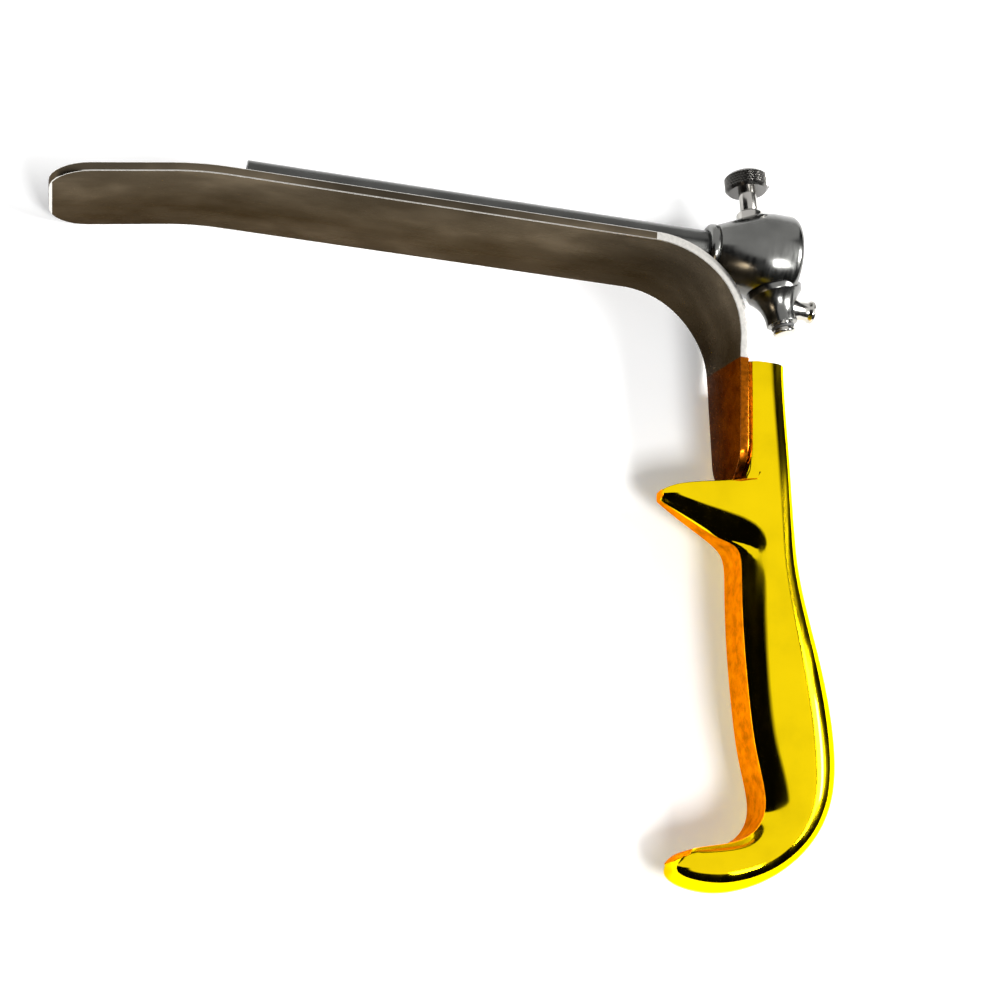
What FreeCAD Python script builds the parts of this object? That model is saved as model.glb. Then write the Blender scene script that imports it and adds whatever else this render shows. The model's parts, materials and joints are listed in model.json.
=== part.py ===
import FreeCAD, Part
import math
import os
import Sketcher

# Endoscopic retractor lying on its side, in millimetres.
# The origin is on the scope bore's axis at the clamp's rear face. +X points the way the scope leaves,
# +Y points from the handle to the blade, and +Z is across the blade, upwards as it lies.

SIZES = {
    "blade_width": 30.0,
    "blade_thickness": 2.2,
    "blade_straight": 105.0,
    "tip_length": 28.0,
    "tip_angle": 9.5,
    "tip_bend_radius": 80.0,
    "tip_corner_radius": 9.5,
    "bend_radius": 23.0,
    "strip_setback": 18.0,
    "strip_lean": 2.5,
    "strip_end_drop": 63.4,
    "strip_width": 24.0,
    "strip_end_width": 20.0,
    "strip_end_flat": 3.5,
    "neck_drop": 16.0,
    "neck_end_drop": 37.0,
    "tube_od": 9.4,
    "tube_bore": 7.4,
    "tube_front": 141.5,
    "braze_leg": 1.6,
    "braze_foot": 1.3,
    "braze_spread": 4.5,
    "clamp_radius": 11.6,
    "clamp_barrel": 9.0,
    "clamp_cone": 12.0,
    "ring_radius": 6.6,
    "ring_length": 2.6,
    "ring_round": 1.2,
    "clamp_round": 2.2,
    "seat_clearance": 0.02,
    "seal_length": 2.0,
    "seal_radius": 5.6,
    "retainer_length": 2.4,
    "retainer_radius": 7.4,
    "retainer_chamfer": 0.4,
    "screw_lean": 6.0,
    "screw_station": 10.2,
    "screw_radius": 2.3,
    "screw_travel": 2.1,
    "bush_radius": 3.5,
    "bush_top": 12.2,
    "bush_bottom": 5.6,
    "knob_radius": 5.8,
    "knob_height": 4.6,
    "knob_gap": 3.8,
    "knob_chamfer": 0.5,
    "knob_teeth": 36.0,
    "knob_tooth_depth": 0.35,
    "knob_tooth_half": 0.6,
    "pad_radius": 1.9,
    "pad_bottom": 4.0,
    "pad_length": 1.6,
    "neck_radius": 1.0,
    "neck_length": 1.0,
    "turn_clearance": 0.05,
    "open_clearance": 0.3,
    "valve_lean": 15.0,
    "valve_station": 7.0,
    "valve_root_radius": 7.2,
    "valve_root_start": 8.4,
    "valve_root_end": 10.8,
    "valve_flare_radius": 8.0,
    "valve_tip_radius": 4.0,
    "valve_flare": 5.0,
    "valve_end": 18.6,
    "plug_radius": 2.6,
    "plug_start": 13.0,
    "plug_end": 20.4,
    "plug_port_radius": 1.4,
    "plug_neck_radius": 2.0,
    "cap_radius": 2.9,
    "cap_length": 0.9,
    "ring_section": 0.5,
    "nozzle_drop": 13.4,
    "nozzle_radius": 2.5,
    "nozzle_bore": 1.5,
    "nozzle_reach": 6.2,
    "nozzle_root_radius": 3.6,
    "nozzle_root_length": 2.2,
    "bead_radius": 3.05,
    "bead_length": 1.6,
    "handle_drop": 33.5,
    "handle_half": 11.0,
    "handle_wall": 1.8,
    "handle_depth": 11.4,
    "crown_height": 6.0,
    "top_plate_thickness": 2.0,
    "band_width": 12.0,
    "band_tip_width": 5.0,
    "band_thickness": 2.0,
    "band_zone_depth": 9.7,
    "hook_half": 5.0,
    "hook_middle_half": 7.4,
    "taper_lead": 1.0,
    "taper_middle": 10.0,
    "full_width_setback": 2.6,
    "hook_start_drop": 63.6,
    "hook_top_drop": 64.2,
    "hook_reach": 18.0,
    "hook_tip_drop": 67.6,
    "hook_under_drop": 71.8,
    "brow_reach": 15.0,
    "chin_reach": 16.2,
    "slope_reach": 5.6,
    "slope_drop": 76.8,
    "root_depth": 0.4,
    "root_drop": 79.4,
    "waist_front_depth": 0.9,
    "waist_back_depth": 19.2,
    "waist_drop": 95.0,
    "middle_front_depth": 3.0,
    "middle_drop": 112.0,
    "belly_front_depth": 5.0,
    "belly_back_depth": 26.8,
    "belly_drop": 129.0,
    "low_front_depth": 7.6,
    "low_back_depth": 19.8,
    "low_drop": 141.0,
    "throat_depth": 2.2,
    "throat_drop": 151.0,
    "neck_back_depth": 14.1,
    "lip_reach": 10.2,
    "lip_drop": 153.0,
    "heel_reach": 14.6,
    "heel_tip_drop": 157.4,
    "corner_reach": 11.2,
    "corner_drop": 161.8,
    "base_depth": 1.4,
    "heel_base_drop": 162.8,
    "back_fillet": 6.5,
    "front_fillet": 3.2,
    "hollow_inset": 4.0,
    "inset_points": 16.0,
    "tang_width": 14.0,
    "tang_depth": 2.0,
    "tang_setback": 5.2,
    "tang_end_drop": 90.0,
    "tang_pin_radius": 1.5,
    "upper_pin_drop": 44.0,
    "lower_pin_drop": 57.5,
}

doc = FreeCAD.newDocument("retractor")
sheet = doc.addObject("Spreadsheet::Sheet", "Sizes")
PARTS = []
MARGIN = 5.0
TOLERANCE = 0.01


class Size:
    """A length or angle that carries its number and the expression that gives it from the sheet."""

    def __init__(self, value, text):
        self.value = value
        self.text = text

    def joined(self, other, sign, value):
        text = other.text if isinstance(other, Size) else repr(float(other))
        return Size(value, f"({self.text} {sign} {text})")

    def __add__(self, other):
        return self.joined(other, "+", self.value + number(other))

    def __sub__(self, other):
        return self.joined(other, "-", self.value - number(other))

    def __mul__(self, other):
        return self.joined(other, "*", self.value * number(other))

    def __truediv__(self, other):
        return self.joined(other, "/", self.value / number(other))

    def __neg__(self):
        return Size(-self.value, f"(0 - {self.text})")


ZERO = Size(0.0, "0.0")


def number(size):
    return size.value if isinstance(size, Size) else float(size)


def sine(angle):
    return Size(math.sin(math.radians(angle.value)), f"sin({angle.text})")


def cosine(angle):
    return Size(math.cos(math.radians(angle.value)), f"cos({angle.text})")


def fill_sheet():
    for row, (name, value) in enumerate(SIZES.items(), start=1):
        sheet.set(f"A{row}", name)
        sheet.set(f"B{row}", str(value))
        sheet.setAlias(f"B{row}", name)
    doc.recompute()


def size(name):
    return Size(float(sheet.get(name)), f"Sizes.{name}")


def bind(target, prop, value):
    """Sets a property from a size and ties it to the sheet."""
    if isinstance(value, Size):
        target.setExpression(prop, value.text)
    else:
        target.setExpression(prop, repr(float(value)))


def new_body(name):
    body = doc.addObject("PartDesign::Body", name)
    body.Label = name
    return body


def origin_item(body, role):
    for feature in body.Origin.OriginFeatures:
        if feature.Role == role:
            return feature
    raise RuntimeError(f"{body.Label} has no {role}")


def new_sketch(body, name, role):
    sketch = body.newObject("Sketcher::SketchObject", f"{body.Label}_{name}")
    sketch.AttachmentSupport = [(origin_item(body, role), "")]
    sketch.MapMode = "FlatFace"
    return sketch


def outline(body, name, role, points, arcs=()):
    """A closed outline of lines through points, each an (x, y) pair of sizes.

    arcs maps the number of an edge to (radius, turn): turn is 1 when the edge bulges to the right
    of the way it runs, and -1 when it bulges to the left.
    """
    sketch = new_sketch(body, name, role)
    arcs = dict(arcs)
    places = [FreeCAD.Vector(number(x), number(y), 0) for x, y in points]
    count = len(places)
    for index in range(count):
        start, end = places[index], places[(index + 1) % count]
        if index in arcs:
            radius, turn = arcs[index]
            sketch.addGeometry(arc_edge(start, end, number(radius), turn), False)
        else:
            sketch.addGeometry(Part.LineSegment(start, end), False)
    for index in range(count):
        following = (index + 1) % count
        tail = 2 if arcs.get(index, (0, 1))[1] == 1 else 1
        head = 1 if arcs.get(following, (0, 1))[1] == 1 else 2
        sketch.addConstraint(Sketcher.Constraint("Coincident", index, tail, following, head))
    for index, (x, y) in enumerate(points):
        head = 1 if arcs.get(index, (0, 1))[1] == 1 else 2
        fix_point(sketch, index, head, x, y)
        if index in arcs:
            number_of = sketch.addConstraint(Sketcher.Constraint("Radius", index, number(arcs[index][0])))
            bind(sketch, f"Constraints[{number_of}]", arcs[index][0])
    return sketch


def fix_point(sketch, index, end, x, y):
    for kind, value in (("DistanceX", x), ("DistanceY", y)):
        constraint = Sketcher.Constraint(kind, -1, 1, index, end, number(value))
        number_of = sketch.addConstraint(constraint)
        bind(sketch, f"Constraints[{number_of}]", value)


def arc_edge(start, end, radius, turn):
    """The short arc between two points, whose centre lies left of the way it runs when turn is 1."""
    chord = end - start
    half = chord.Length / 2
    rise = math.sqrt(radius * radius - half * half)
    left = FreeCAD.Vector(-chord.y, chord.x, 0).normalize()
    centre = (start + end) * 0.5 + left * (rise * turn)
    circle = Part.Circle(centre, FreeCAD.Vector(0, 0, 1), radius)
    first, last = (start, end) if turn == 1 else (end, start)
    return Part.ArcOfCircle(circle, angle_at(centre, first), angle_at(centre, last))


def angle_at(centre, point):
    return math.atan2(point.y - centre.y, point.x - centre.x)


def extruded(kind, body, sketch, name, length, both_ways=True):
    """A pad or a pocket from a sketch, run the same way to both sides or all to one."""
    made = body.newObject(f"PartDesign::{kind}", f"{body.Label}_{name}")
    made.Profile = sketch
    made.Midplane = both_ways
    bind(made, "Length", length)
    doc.recompute()
    return made


def turned(name, points, axis="H_Axis", arcs=()):
    """A piece turned on a lathe: an outline in the XY plane, spun about the X axis or the Y axis."""
    body = new_body(name)
    sketch = outline(body, "profile", "XY_Plane", points, arcs)
    spin = body.newObject("PartDesign::Revolution", f"{name}_turned")
    spin.Profile = sketch
    spin.ReferenceAxis = (sketch, [axis])
    spin.Angle = 360.0
    doc.recompute()
    return body


def keep(part, placement=None):
    """Lists a finished sub-part, at its place."""
    if placement is not None:
        part.Placement = placement
    PARTS.append(part)
    return part


def edges_where(shape, test):
    return [f"Edge{n}" for n, edge in enumerate(shape.Edges, start=1) if test(edge)]


def feature(name, shape):
    part = helper("Part::Feature", name)
    part.Shape = shape
    return keep(part)


def helper(kind, name):
    part = doc.addObject(kind, name)
    part.Label = name
    return part


def tool_cylinder(name, radius, length, placement):
    tool = helper("Part::Cylinder", name)
    bind(tool, "Radius", radius)
    bind(tool, "Height", length)
    tool.Placement = placement
    return tool


def cut(name, base, tool):
    result = helper("Part::Cut", name)
    result.Base = base
    result.Tool = tool
    doc.recompute()
    return result


def joined(name, parts):
    result = helper("Part::Compound", name)
    result.Links = parts
    doc.recompute()
    return result


def along_x(x, y=0.0):
    """Puts a cylinder's axis along +X, from the given point."""
    turn = FreeCAD.Rotation(FreeCAD.Vector(0, 1, 0), 90)
    return FreeCAD.Placement(FreeCAD.Vector(x, y, 0), turn)


def screw_place():
    """The thumb screw's frame: its Y axis runs up the screw, its origin is on the scope's axis."""
    turn = FreeCAD.Rotation(FreeCAD.Vector(0, 0, 1), size("screw_lean").value)
    return FreeCAD.Placement(FreeCAD.Vector(-size("screw_station").value, 0, 0), turn)


def valve_place():
    """The valve's frame: its Y axis runs down and back out of the clamp."""
    turn = FreeCAD.Rotation(FreeCAD.Vector(0, 0, 1), 180 + size("valve_lean").value)
    return FreeCAD.Placement(FreeCAD.Vector(-size("valve_station").value, 0, 0), turn)


def at(placement, x, y):
    return placement.multiply(FreeCAD.Placement(FreeCAD.Vector(x, y, 0), FreeCAD.Rotation()))


def up_y(placement, y):
    """Turns a cylinder's own axis onto the Y axis of a placement, starting at height y."""
    turn = FreeCAD.Rotation(FreeCAD.Vector(1, 0, 0), -90)
    return placement.multiply(FreeCAD.Placement(FreeCAD.Vector(0, y, 0), turn))


def strip_faces():
    """Heights and places that the blade, its tube and the handle share."""
    outer = -(size("tube_od") / 2)
    inner = outer - size("blade_thickness")
    bend_x = -(size("strip_setback") + size("bend_radius"))
    return inner, outer, bend_x


def strip_point(drop):
    """The strip's outer face at a height below the scope's axis, where the strip runs to the handle."""
    inner, _, bend_x = strip_faces()
    lean = size("strip_lean")
    radius = size("bend_radius") + size("blade_thickness")
    start_x = bend_x + radius * cosine(lean)
    start_y = inner - size("bend_radius") + radius * sine(lean)
    fall = start_y + drop
    return start_x + fall * (sine(lean) / cosine(lean))


def make_blade():
    body = new_body("blade")
    inner, outer, bend_x = strip_faces()
    thick = size("blade_thickness")
    bend, lean = size("bend_radius"), size("strip_lean")
    tip_bend, tip, long = size("tip_bend_radius"), size("tip_angle"), size("tip_length")
    tip_x = bend_x - size("blade_straight")
    centre_y = inner - bend
    low = -size("strip_end_drop")
    slope = sine(lean) / cosine(lean)

    def on_bend(radius):
        return bend_x + radius * cosine(lean), centre_y + radius * sine(lean)

    def on_tip(radius, reach):
        x = tip_x - radius * sine(tip) - reach * cosine(tip)
        y = inner - tip_bend + radius * cosine(tip) - reach * sine(tip)
        return x, y

    inner_x, inner_y = on_bend(bend)
    outer_x, outer_y = on_bend(bend + thick)
    points = [
        on_tip(tip_bend, long),
        on_tip(tip_bend, ZERO),
        (tip_x, inner),
        (bend_x, inner),
        (inner_x, inner_y),
        (inner_x + (inner_y - low) * slope, low),
        (outer_x + (outer_y - low) * slope, low),
        (outer_x, outer_y),
        (bend_x, outer),
        (tip_x, outer),
        on_tip(tip_bend + thick, ZERO),
        on_tip(tip_bend + thick, long),
    ]
    arcs = {
        1: (tip_bend, -1),
        3: (bend, -1),
        7: (bend + thick, 1),
        9: (tip_bend + thick, 1),
    }
    sketch = outline(body, "side", "XY_Plane", points, arcs)
    far = size("blade_width")
    extruded("Pad", body, sketch, "strip", far)
    half, end, flat = size("strip_width") / 2, size("strip_end_width") / 2, size("strip_end_flat")
    neck, neck_end = -size("neck_drop"), -size("neck_end_drop")
    below = low - thick
    for side, sign in (("near", 1.0), ("far", -1.0)):
        trim = [
            (neck, far / 2 * sign),
            (neck_end, half * sign),
            (low + end, end * sign),
            (low, flat * sign),
            (below, flat * sign),
            (below, far * sign),
            (neck, far * sign),
        ]
        sketch = outline(body, f"{side}_trim", "YZ_Plane", trim)
        extruded("Pocket", body, sketch, f"{side}_trim_cut", far * 4)
    return body


def finish_blade(body):
    """Rounds the corners of the blade's tip."""
    shape = body.Shape
    left = shape.BoundBox.XMin
    half, thick = size("blade_width").value / 2, size("blade_thickness").value

    def tip_corner(edge):
        box = edge.BoundBox
        short = edge.Length < thick + TOLERANCE
        return short and abs(abs(box.Center.z) - half) < TOLERANCE and box.XMin < left + thick

    base = body.Tip
    fillet = body.newObject("PartDesign::Fillet", "blade_tip_corners")
    fillet.Base = (base, edges_where(shape, tip_corner))
    bind(fillet, "Radius", size("tip_corner_radius"))
    doc.recompute()
    return keep(body)


def make_tube():
    outer = size("tube_od") / 2
    bore = size("tube_bore") / 2
    front = -size("tube_front")
    rear = -(size("seal_length") + size("retainer_length"))
    return turned("guide_tube", [(front, bore), (rear, bore), (rear, outer), (front, outer)])


def make_braze():
    """The two seams of braze that run along the tube where it lies on the blade."""
    _, base, bend_x = strip_faces()
    radius, leg = size("tube_od") / 2, size("braze_leg")
    length = bend_x + size("tube_front")
    place = FreeCAD.Placement(FreeCAD.Vector(-size("tube_front").value, 0, 0), FreeCAD.Rotation())
    seams = []
    for side, sign in (("near", 1.0), ("far", -1.0)):
        body = new_body(f"braze_{side}_form")
        foot, spread = size("braze_foot") * sign, size("braze_spread") * sign
        rise = (radius - leg) * sign
        sketch = outline(body, "profile", "YZ_Plane", [(base, foot), (base, spread), (base + leg, rise)])
        extruded("Pad", body, sketch, "bar", length, both_ways=False)
        body.Placement = place
        tube = tool_cylinder(f"braze_{side}_tube", radius, length, along_x(place.Base.x))
        seams.append(cut(f"braze_{side}", body, tube))
    return keep(joined("tube_braze", seams))


def make_clamp_ring():
    outer = size("tube_od") / 2 + size("seat_clearance")
    rear = -(size("clamp_barrel") + size("clamp_cone"))
    front = rear - size("ring_length")
    ring, edge = size("ring_radius"), size("ring_round")
    points = [
        (front, outer),
        (rear, outer),
        (rear, ring),
        (front + edge, ring),
        (front, ring - edge),
    ]
    return keep(turned("clamp_ring", points, arcs={3: (edge, 1)}))


def make_clamp_body():
    seat = size("tube_od") / 2 + size("seat_clearance")
    cone = -(size("clamp_barrel") + size("clamp_cone"))
    barrel = -size("clamp_barrel")
    pocket = -size("retainer_length")
    inner = -(size("retainer_length") + size("seal_length"))
    radius, edge = size("clamp_radius"), size("clamp_round")
    room = size("retainer_radius") + size("seat_clearance")
    seal = size("seal_radius")
    points = [
        (cone, seat),
        (inner, seat),
        (inner, seal),
        (pocket, seal),
        (pocket, room),
        (ZERO, room),
        (ZERO, radius - edge),
        (-edge, radius),
        (barrel, radius),
        (cone, size("ring_radius")),
    ]
    return turned("clamp_body_form", points, arcs={6: (edge, 1)})


def clear_of_clamp(name, part, beyond):
    """Cuts a piece back to the clamp's cone and barrel, and as far past the rear face as given."""
    gap = size("seat_clearance") / 2
    barrel, length = size("clamp_barrel"), size("clamp_cone")
    wide = size("clamp_radius") + gap
    cone = helper("Part::Cone", f"{name}_cone")
    bind(cone, "Radius1", size("ring_radius") + gap)
    bind(cone, "Radius2", wide)
    bind(cone, "Height", length)
    cone.Placement = along_x(-(barrel + length).value)
    saddle = tool_cylinder(f"{name}_saddle", wide, barrel + beyond, along_x(-barrel.value))
    return cut(name, cut(f"{name}_on_cone", part, cone), saddle)


def make_clamp():
    """Bores the thumb screw's seat through the clamp body and the tube, and the valve's passage."""
    form, tube = make_clamp_body(), make_tube()
    screw, valve = screw_place(), valve_place()
    seat = size("bush_radius") + size("seat_clearance")
    deep = size("clamp_radius") * 2
    bush_hole = tool_cylinder("bush_hole", seat, deep, up_y(screw, size("bush_bottom").value))
    drilled = cut("clamp_drilled", form, bush_hole)
    through = size("screw_radius") + size("open_clearance")
    shaft_hole = tool_cylinder("shaft_hole", through, deep, up_y(screw, 0.0))
    bored = cut("clamp_bored", drilled, shaft_hole)
    tube_hole = tool_cylinder("tube_window", through, deep, up_y(screw, 0.0))
    tube_cut = cut("tube_windowed", tube, tube_hole)
    port = size("plug_port_radius")
    port_hole = tool_cylinder("valve_passage", port, deep, up_y(valve, 0.0))
    body = cut("clamp_body", bored, port_hole)
    keep(body)
    port_tube = tool_cylinder("tube_passage", port, deep, up_y(valve, 0.0))
    done = cut("tube_ported", tube_cut, port_tube)
    tube.Label = "guide_tube_form"
    done.Label = "guide_tube"
    return keep(done)


def make_seal():
    """The soft seal round the scope and the retainer that closes the clamp's rear."""
    seat = size("seal_radius") - size("seat_clearance")
    start = -(size("retainer_length") + size("seal_length"))
    bore = size("tube_bore") / 2
    front = -size("retainer_length")
    lip = bore + size("turn_clearance")
    keep(turned("scope_seal", [(start, lip), (front, lip), (front, seat), (start, seat)]))
    radius, edge = size("retainer_radius"), size("retainer_chamfer")
    points = [(front, bore), (ZERO, bore), (ZERO, radius - edge), (-edge, radius), (front, radius)]
    keep(turned("seal_retainer", points))


def make_screw():
    """The bush, the captive screw with its knurled head, and the pad that presses on the scope."""
    place = screw_place()
    bush, shaft = size("bush_radius"), size("screw_radius")
    bottom, top = size("bush_bottom"), size("bush_top")
    clear = size("turn_clearance")
    edge = size("knob_chamfer")
    keep(turned("screw_bush", [(shaft + clear, bottom), (bush, bottom), (bush, top - edge),
                               (bush - edge, top), (shaft + clear, top)], "V_Axis"), place)
    foot = size("pad_bottom")
    pad, pad_top = size("pad_radius"), foot + size("pad_length")
    neck, floor = size("neck_radius"), pad_top - size("neck_length")
    head = knob_seat()
    keep(turned("screw_shaft", [(ZERO, floor + clear), (neck, floor + clear), (neck, pad_top),
                                (shaft, pad_top), (shaft, head), (ZERO, head)], "V_Axis"), place)
    keep(turned("pressure_pad", [(ZERO, foot), (pad - edge, foot), (pad, foot + edge),
                                 (pad, pad_top - clear), (neck + clear, pad_top - clear),
                                 (neck + clear, floor), (ZERO, floor)], "V_Axis"), place)
    make_knob(place)


def knob_seat():
    """The height of the knurled head's underside when the screw is backed off."""
    return size("bush_top") + size("screw_travel") + size("knob_gap")


def make_knob(place):
    """The knurled head: a chamfered disc with grooves round its rim."""
    radius, high = size("knob_radius"), size("knob_height")
    seat, edge = knob_seat(), size("knob_chamfer")
    top = seat + high
    body = turned("knob_head", [(ZERO, seat), (radius - edge, seat), (radius, seat + edge),
                                (radius, top - edge), (radius - edge, top), (ZERO, top)], "V_Axis")
    depth, wide = size("knob_tooth_depth"), size("knob_tooth_half")
    tooth = [(radius - depth, ZERO), (radius + depth, wide), (radius + depth, -wide)]
    sketch = outline(body, "tooth", "XZ_Plane", tooth)
    pocket = extruded("Pocket", body, sketch, "groove", top * 2 + MARGIN)
    pattern = body.newObject("PartDesign::PolarPattern", "knob_grooves")
    pattern.Originals = [pocket]
    pattern.Axis = (origin_item(body, "Y_Axis"), [""])
    pattern.Angle = 360.0
    bind(pattern, "Occurrences", size("knob_teeth"))
    body.Tip = pattern
    doc.recompute()
    return keep(body, place)


def make_valve():
    """The suction port: a flared barrel under the clamp, a turning plug in it and a hose nozzle."""
    place = valve_place()
    clear = size("turn_clearance")
    root, tip, end = size("valve_root_radius"), size("valve_tip_radius"), size("valve_end")
    floor = size("plug_start") - clear
    hole, port = size("plug_radius") + clear, size("plug_port_radius")
    points = [
        (port, size("valve_root_start")),
        (root, size("valve_root_start")),
        (root, size("valve_root_end")),
        (tip, size("clamp_radius") + size("valve_flare")),
        (tip, end),
        (hole, end),
        (hole, floor),
        (port, floor),
    ]
    barrel = turned("valve_barrel_form", points, "V_Axis", {2: (size("valve_flare_radius"), -1)})
    barrel.Placement = place
    seated = clear_of_clamp("valve_seated", barrel, size("valve_root_radius"))
    start = FreeCAD.Vector(nozzle_root().value, -size("nozzle_drop").value, 0)
    drill = tool_cylinder("nozzle_drill", size("nozzle_bore"), size("nozzle_reach") + MARGIN,
                          along_x(start.x, start.y))
    keep(cut("valve_barrel", seated, drill))
    make_plug(place)
    make_nozzle(barrel)


def nozzle_root():
    """Where the valve's leaning axis crosses the nozzle's height."""
    lean = size("valve_lean")
    return size("nozzle_drop") * (sine(lean) / cosine(lean)) - size("valve_station")


def make_plug(place):
    """The valve's plug with its passage, and the seal and cap on its outer end."""
    plug, start, end = size("plug_radius"), size("plug_start"), size("plug_end")
    neck, ring = size("plug_neck_radius"), size("ring_section")
    groove = size("valve_end") + size("open_clearance")
    points = [
        (ZERO, start),
        (plug, start),
        (plug, groove),
        (neck, groove),
        (neck, groove + ring * 2),
        (plug, groove + ring * 2),
        (plug, end),
        (ZERO, end),
    ]
    form = turned("plug_form", points, "V_Axis")
    form.Placement = place
    height = size("nozzle_drop") / cosine(size("valve_lean"))
    middle = at(place, 0, height.value).Base
    passage = tool_cylinder("plug_side_port", size("nozzle_bore"), plug * 2, along_x(middle.x, middle.y))
    half = cut("plug_half", form, passage)
    entry = tool_cylinder("plug_entry", size("plug_port_radius"), height - start, up_y(place, start.value))
    keep(cut("valve_plug", half, entry))
    gap = size("turn_clearance")
    inner, outer = neck + gap, plug + ring
    low, high = groove + gap, groove + ring * 2 - gap
    keep(turned("plug_seal", [(inner, low), (outer, low), (outer, high), (inner, high)], "V_Axis"), place)
    cap, length = size("cap_radius"), size("cap_length")
    edge = length / 4
    keep(turned("plug_cap", [(ZERO, end), (cap, end), (cap, end + length - edge),
                             (cap - edge, end + length), (ZERO, end + length)], "V_Axis"), place)


def make_nozzle(barrel):
    """The hose nozzle: a short tube with a bead at its mouth, set into the barrel's side."""
    bore, radius = size("nozzle_bore"), size("nozzle_radius")
    root, rise = size("nozzle_root_radius"), size("nozzle_root_length")
    bead, length, reach = size("bead_radius"), size("bead_length"), size("nozzle_reach")
    edge = length / 4
    points = [
        (nozzle_root(), bore),
        (reach, bore),
        (reach, bead - edge),
        (reach - edge, bead),
        (reach - length + edge, bead),
        (reach - length, radius),
        (rise, radius),
        (ZERO, root),
        (nozzle_root(), root),
    ]
    body = turned("nozzle_form", points)
    body.Placement = FreeCAD.Placement(FreeCAD.Vector(0, -size("nozzle_drop").value, 0), FreeCAD.Rotation())
    tip = size("valve_tip_radius") + size("seat_clearance") / 2
    seat = tool_cylinder("nozzle_seat", tip, size("valve_end"), up_y(valve_place(), 0.0))
    inner = cut("nozzle_inner", body, seat)
    on_barrel = cut("nozzle_on_barrel", inner, barrel)
    keep(clear_of_clamp("hose_nozzle", on_barrel, ZERO))


def grip_line():
    """Where the strip's line meets the hook's height: the handle's depths are measured from here."""
    return strip_point(size("hook_top_drop")).value


def behind(depth, drop):
    return grip_line() + size(depth).value, -size(drop).value


def ahead(reach, drop):
    return grip_line() - size(reach).value, -size(drop).value


def curve(points, height):
    spline = Part.BSplineCurve()
    spline.interpolate([FreeCAD.Vector(x, y, height) for x, y in points])
    return spline.toShape()


def straight(start, end, height):
    return Part.LineSegment(FreeCAD.Vector(*start, height), FreeCAD.Vector(*end, height)).toShape()


def side_outline():
    """The handle seen from its side, as a face at its far side."""
    height = -size("handle_half").value
    top = -size("handle_drop").value
    crown = (strip_point(size("handle_drop")).value, top)
    back = (grip_line() + size("handle_depth").value, top)
    shoulder = (back[0], top - size("crown_height").value)
    start = (grip_line(), -size("hook_start_drop").value)
    brow, tip = ahead("brow_reach", "hook_top_drop"), ahead("hook_reach", "hook_tip_drop")
    chin, slope = ahead("chin_reach", "hook_under_drop"), ahead("slope_reach", "slope_drop")
    root, waist = behind("root_depth", "root_drop"), behind("waist_front_depth", "waist_drop")
    middle, belly = behind("middle_front_depth", "middle_drop"), behind("belly_front_depth", "belly_drop")
    low, throat = behind("low_front_depth", "low_drop"), behind("throat_depth", "throat_drop")
    lip, heel = ahead("lip_reach", "lip_drop"), ahead("heel_reach", "heel_tip_drop")
    corner, base = ahead("corner_reach", "corner_drop"), behind("base_depth", "heel_base_drop")
    back_low, back_belly = behind("low_back_depth", "throat_drop"), behind("belly_back_depth", "belly_drop")
    back_waist, neck = behind("waist_back_depth", "waist_drop"), behind("neck_back_depth", "hook_top_drop")
    edges = [
        straight(crown, start, height),
        straight(start, brow, height),
        curve([brow, tip, chin], height),
        curve([chin, slope, root], height),
        curve([root, waist, middle, belly, low, throat, lip], height),
        curve([lip, heel, corner], height),
        curve([corner, base, back_low, back_belly, back_waist, neck, shoulder, back], height),
        straight(back, crown, height),
    ]
    return Part.Face(Part.Wire(edges))


def inset_outline(face, inset):
    """The side outline drawn in by an inset, each of its edges redrawn as a plain spline."""
    runs = []
    for edge in face.makeOffset2D(-inset).OuterWire.OrderedEdges:
        points = edge.discretize(int(size("inset_points").value))
        if edge.Orientation == "Reversed":
            points.reverse()
        runs.append(points)
    edges = []
    for index, points in enumerate(runs):
        spline = Part.BSplineCurve()
        spline.interpolate([runs[index - 1][-1]] + points[1:])
        edges.append(spline.toShape())
    return Part.Face(Part.Wire(edges))


def slab(face, half):
    """A side outline made solid, from -half to half across the handle."""
    solid = face.extrude(FreeCAD.Vector(0, 0, half * 2))
    solid.translate(FreeCAD.Vector(0, 0, size("handle_half").value - half))
    return solid


def handle_solid(side):
    """The whole handle: its side outline, narrowed towards the hook."""
    half, far = size("handle_half").value, grip_line() + size("belly_back_depth").value + MARGIN
    tip = grip_line() - size("hook_reach").value - size("taper_lead").value
    middle = grip_line() - size("taper_middle").value
    full = grip_line() - size("full_width_setback").value
    narrow, swell = size("hook_half").value, size("hook_middle_half").value
    floor = -(size("heel_base_drop").value + MARGIN)
    near = [(tip, narrow), (middle, swell), (full, half)]
    beyond = [(x, -z) for x, z in near]
    wire = Part.Wire([
        plan_curve(near, floor),
        plan_line(near[-1], (far, half), floor),
        plan_line((far, half), (far, -half), floor),
        plan_line((far, -half), beyond[-1], floor),
        plan_curve(beyond, floor),
        plan_line(beyond[0], near[0], floor),
    ])
    taper = Part.Face(wire).extrude(FreeCAD.Vector(0, size("heel_base_drop").value, 0))
    return slab(side, half).common(taper).Solids[0]


def plan_curve(points, y):
    """A side of the plan outline, which runs out level where the handle reaches its full thickness."""
    places = [FreeCAD.Vector(x, y, z) for x, z in points]
    slope = (places[1] - places[0]).normalize()
    spline = Part.BSplineCurve()
    spline.interpolate(Points=places, InitialTangent=slope, FinalTangent=FreeCAD.Vector(1, 0, 0))
    return spline.toShape()


def plan_line(start, end, y):
    return Part.LineSegment(FreeCAD.Vector(start[0], y, start[1]), FreeCAD.Vector(end[0], y, end[1])).toShape()


def block(x_range, y_range, half):
    low = FreeCAD.Vector(x_range[0], y_range[0], -half)
    return Part.makeBox(x_range[1] - x_range[0], y_range[1] - y_range[0], half * 2, low)


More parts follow.
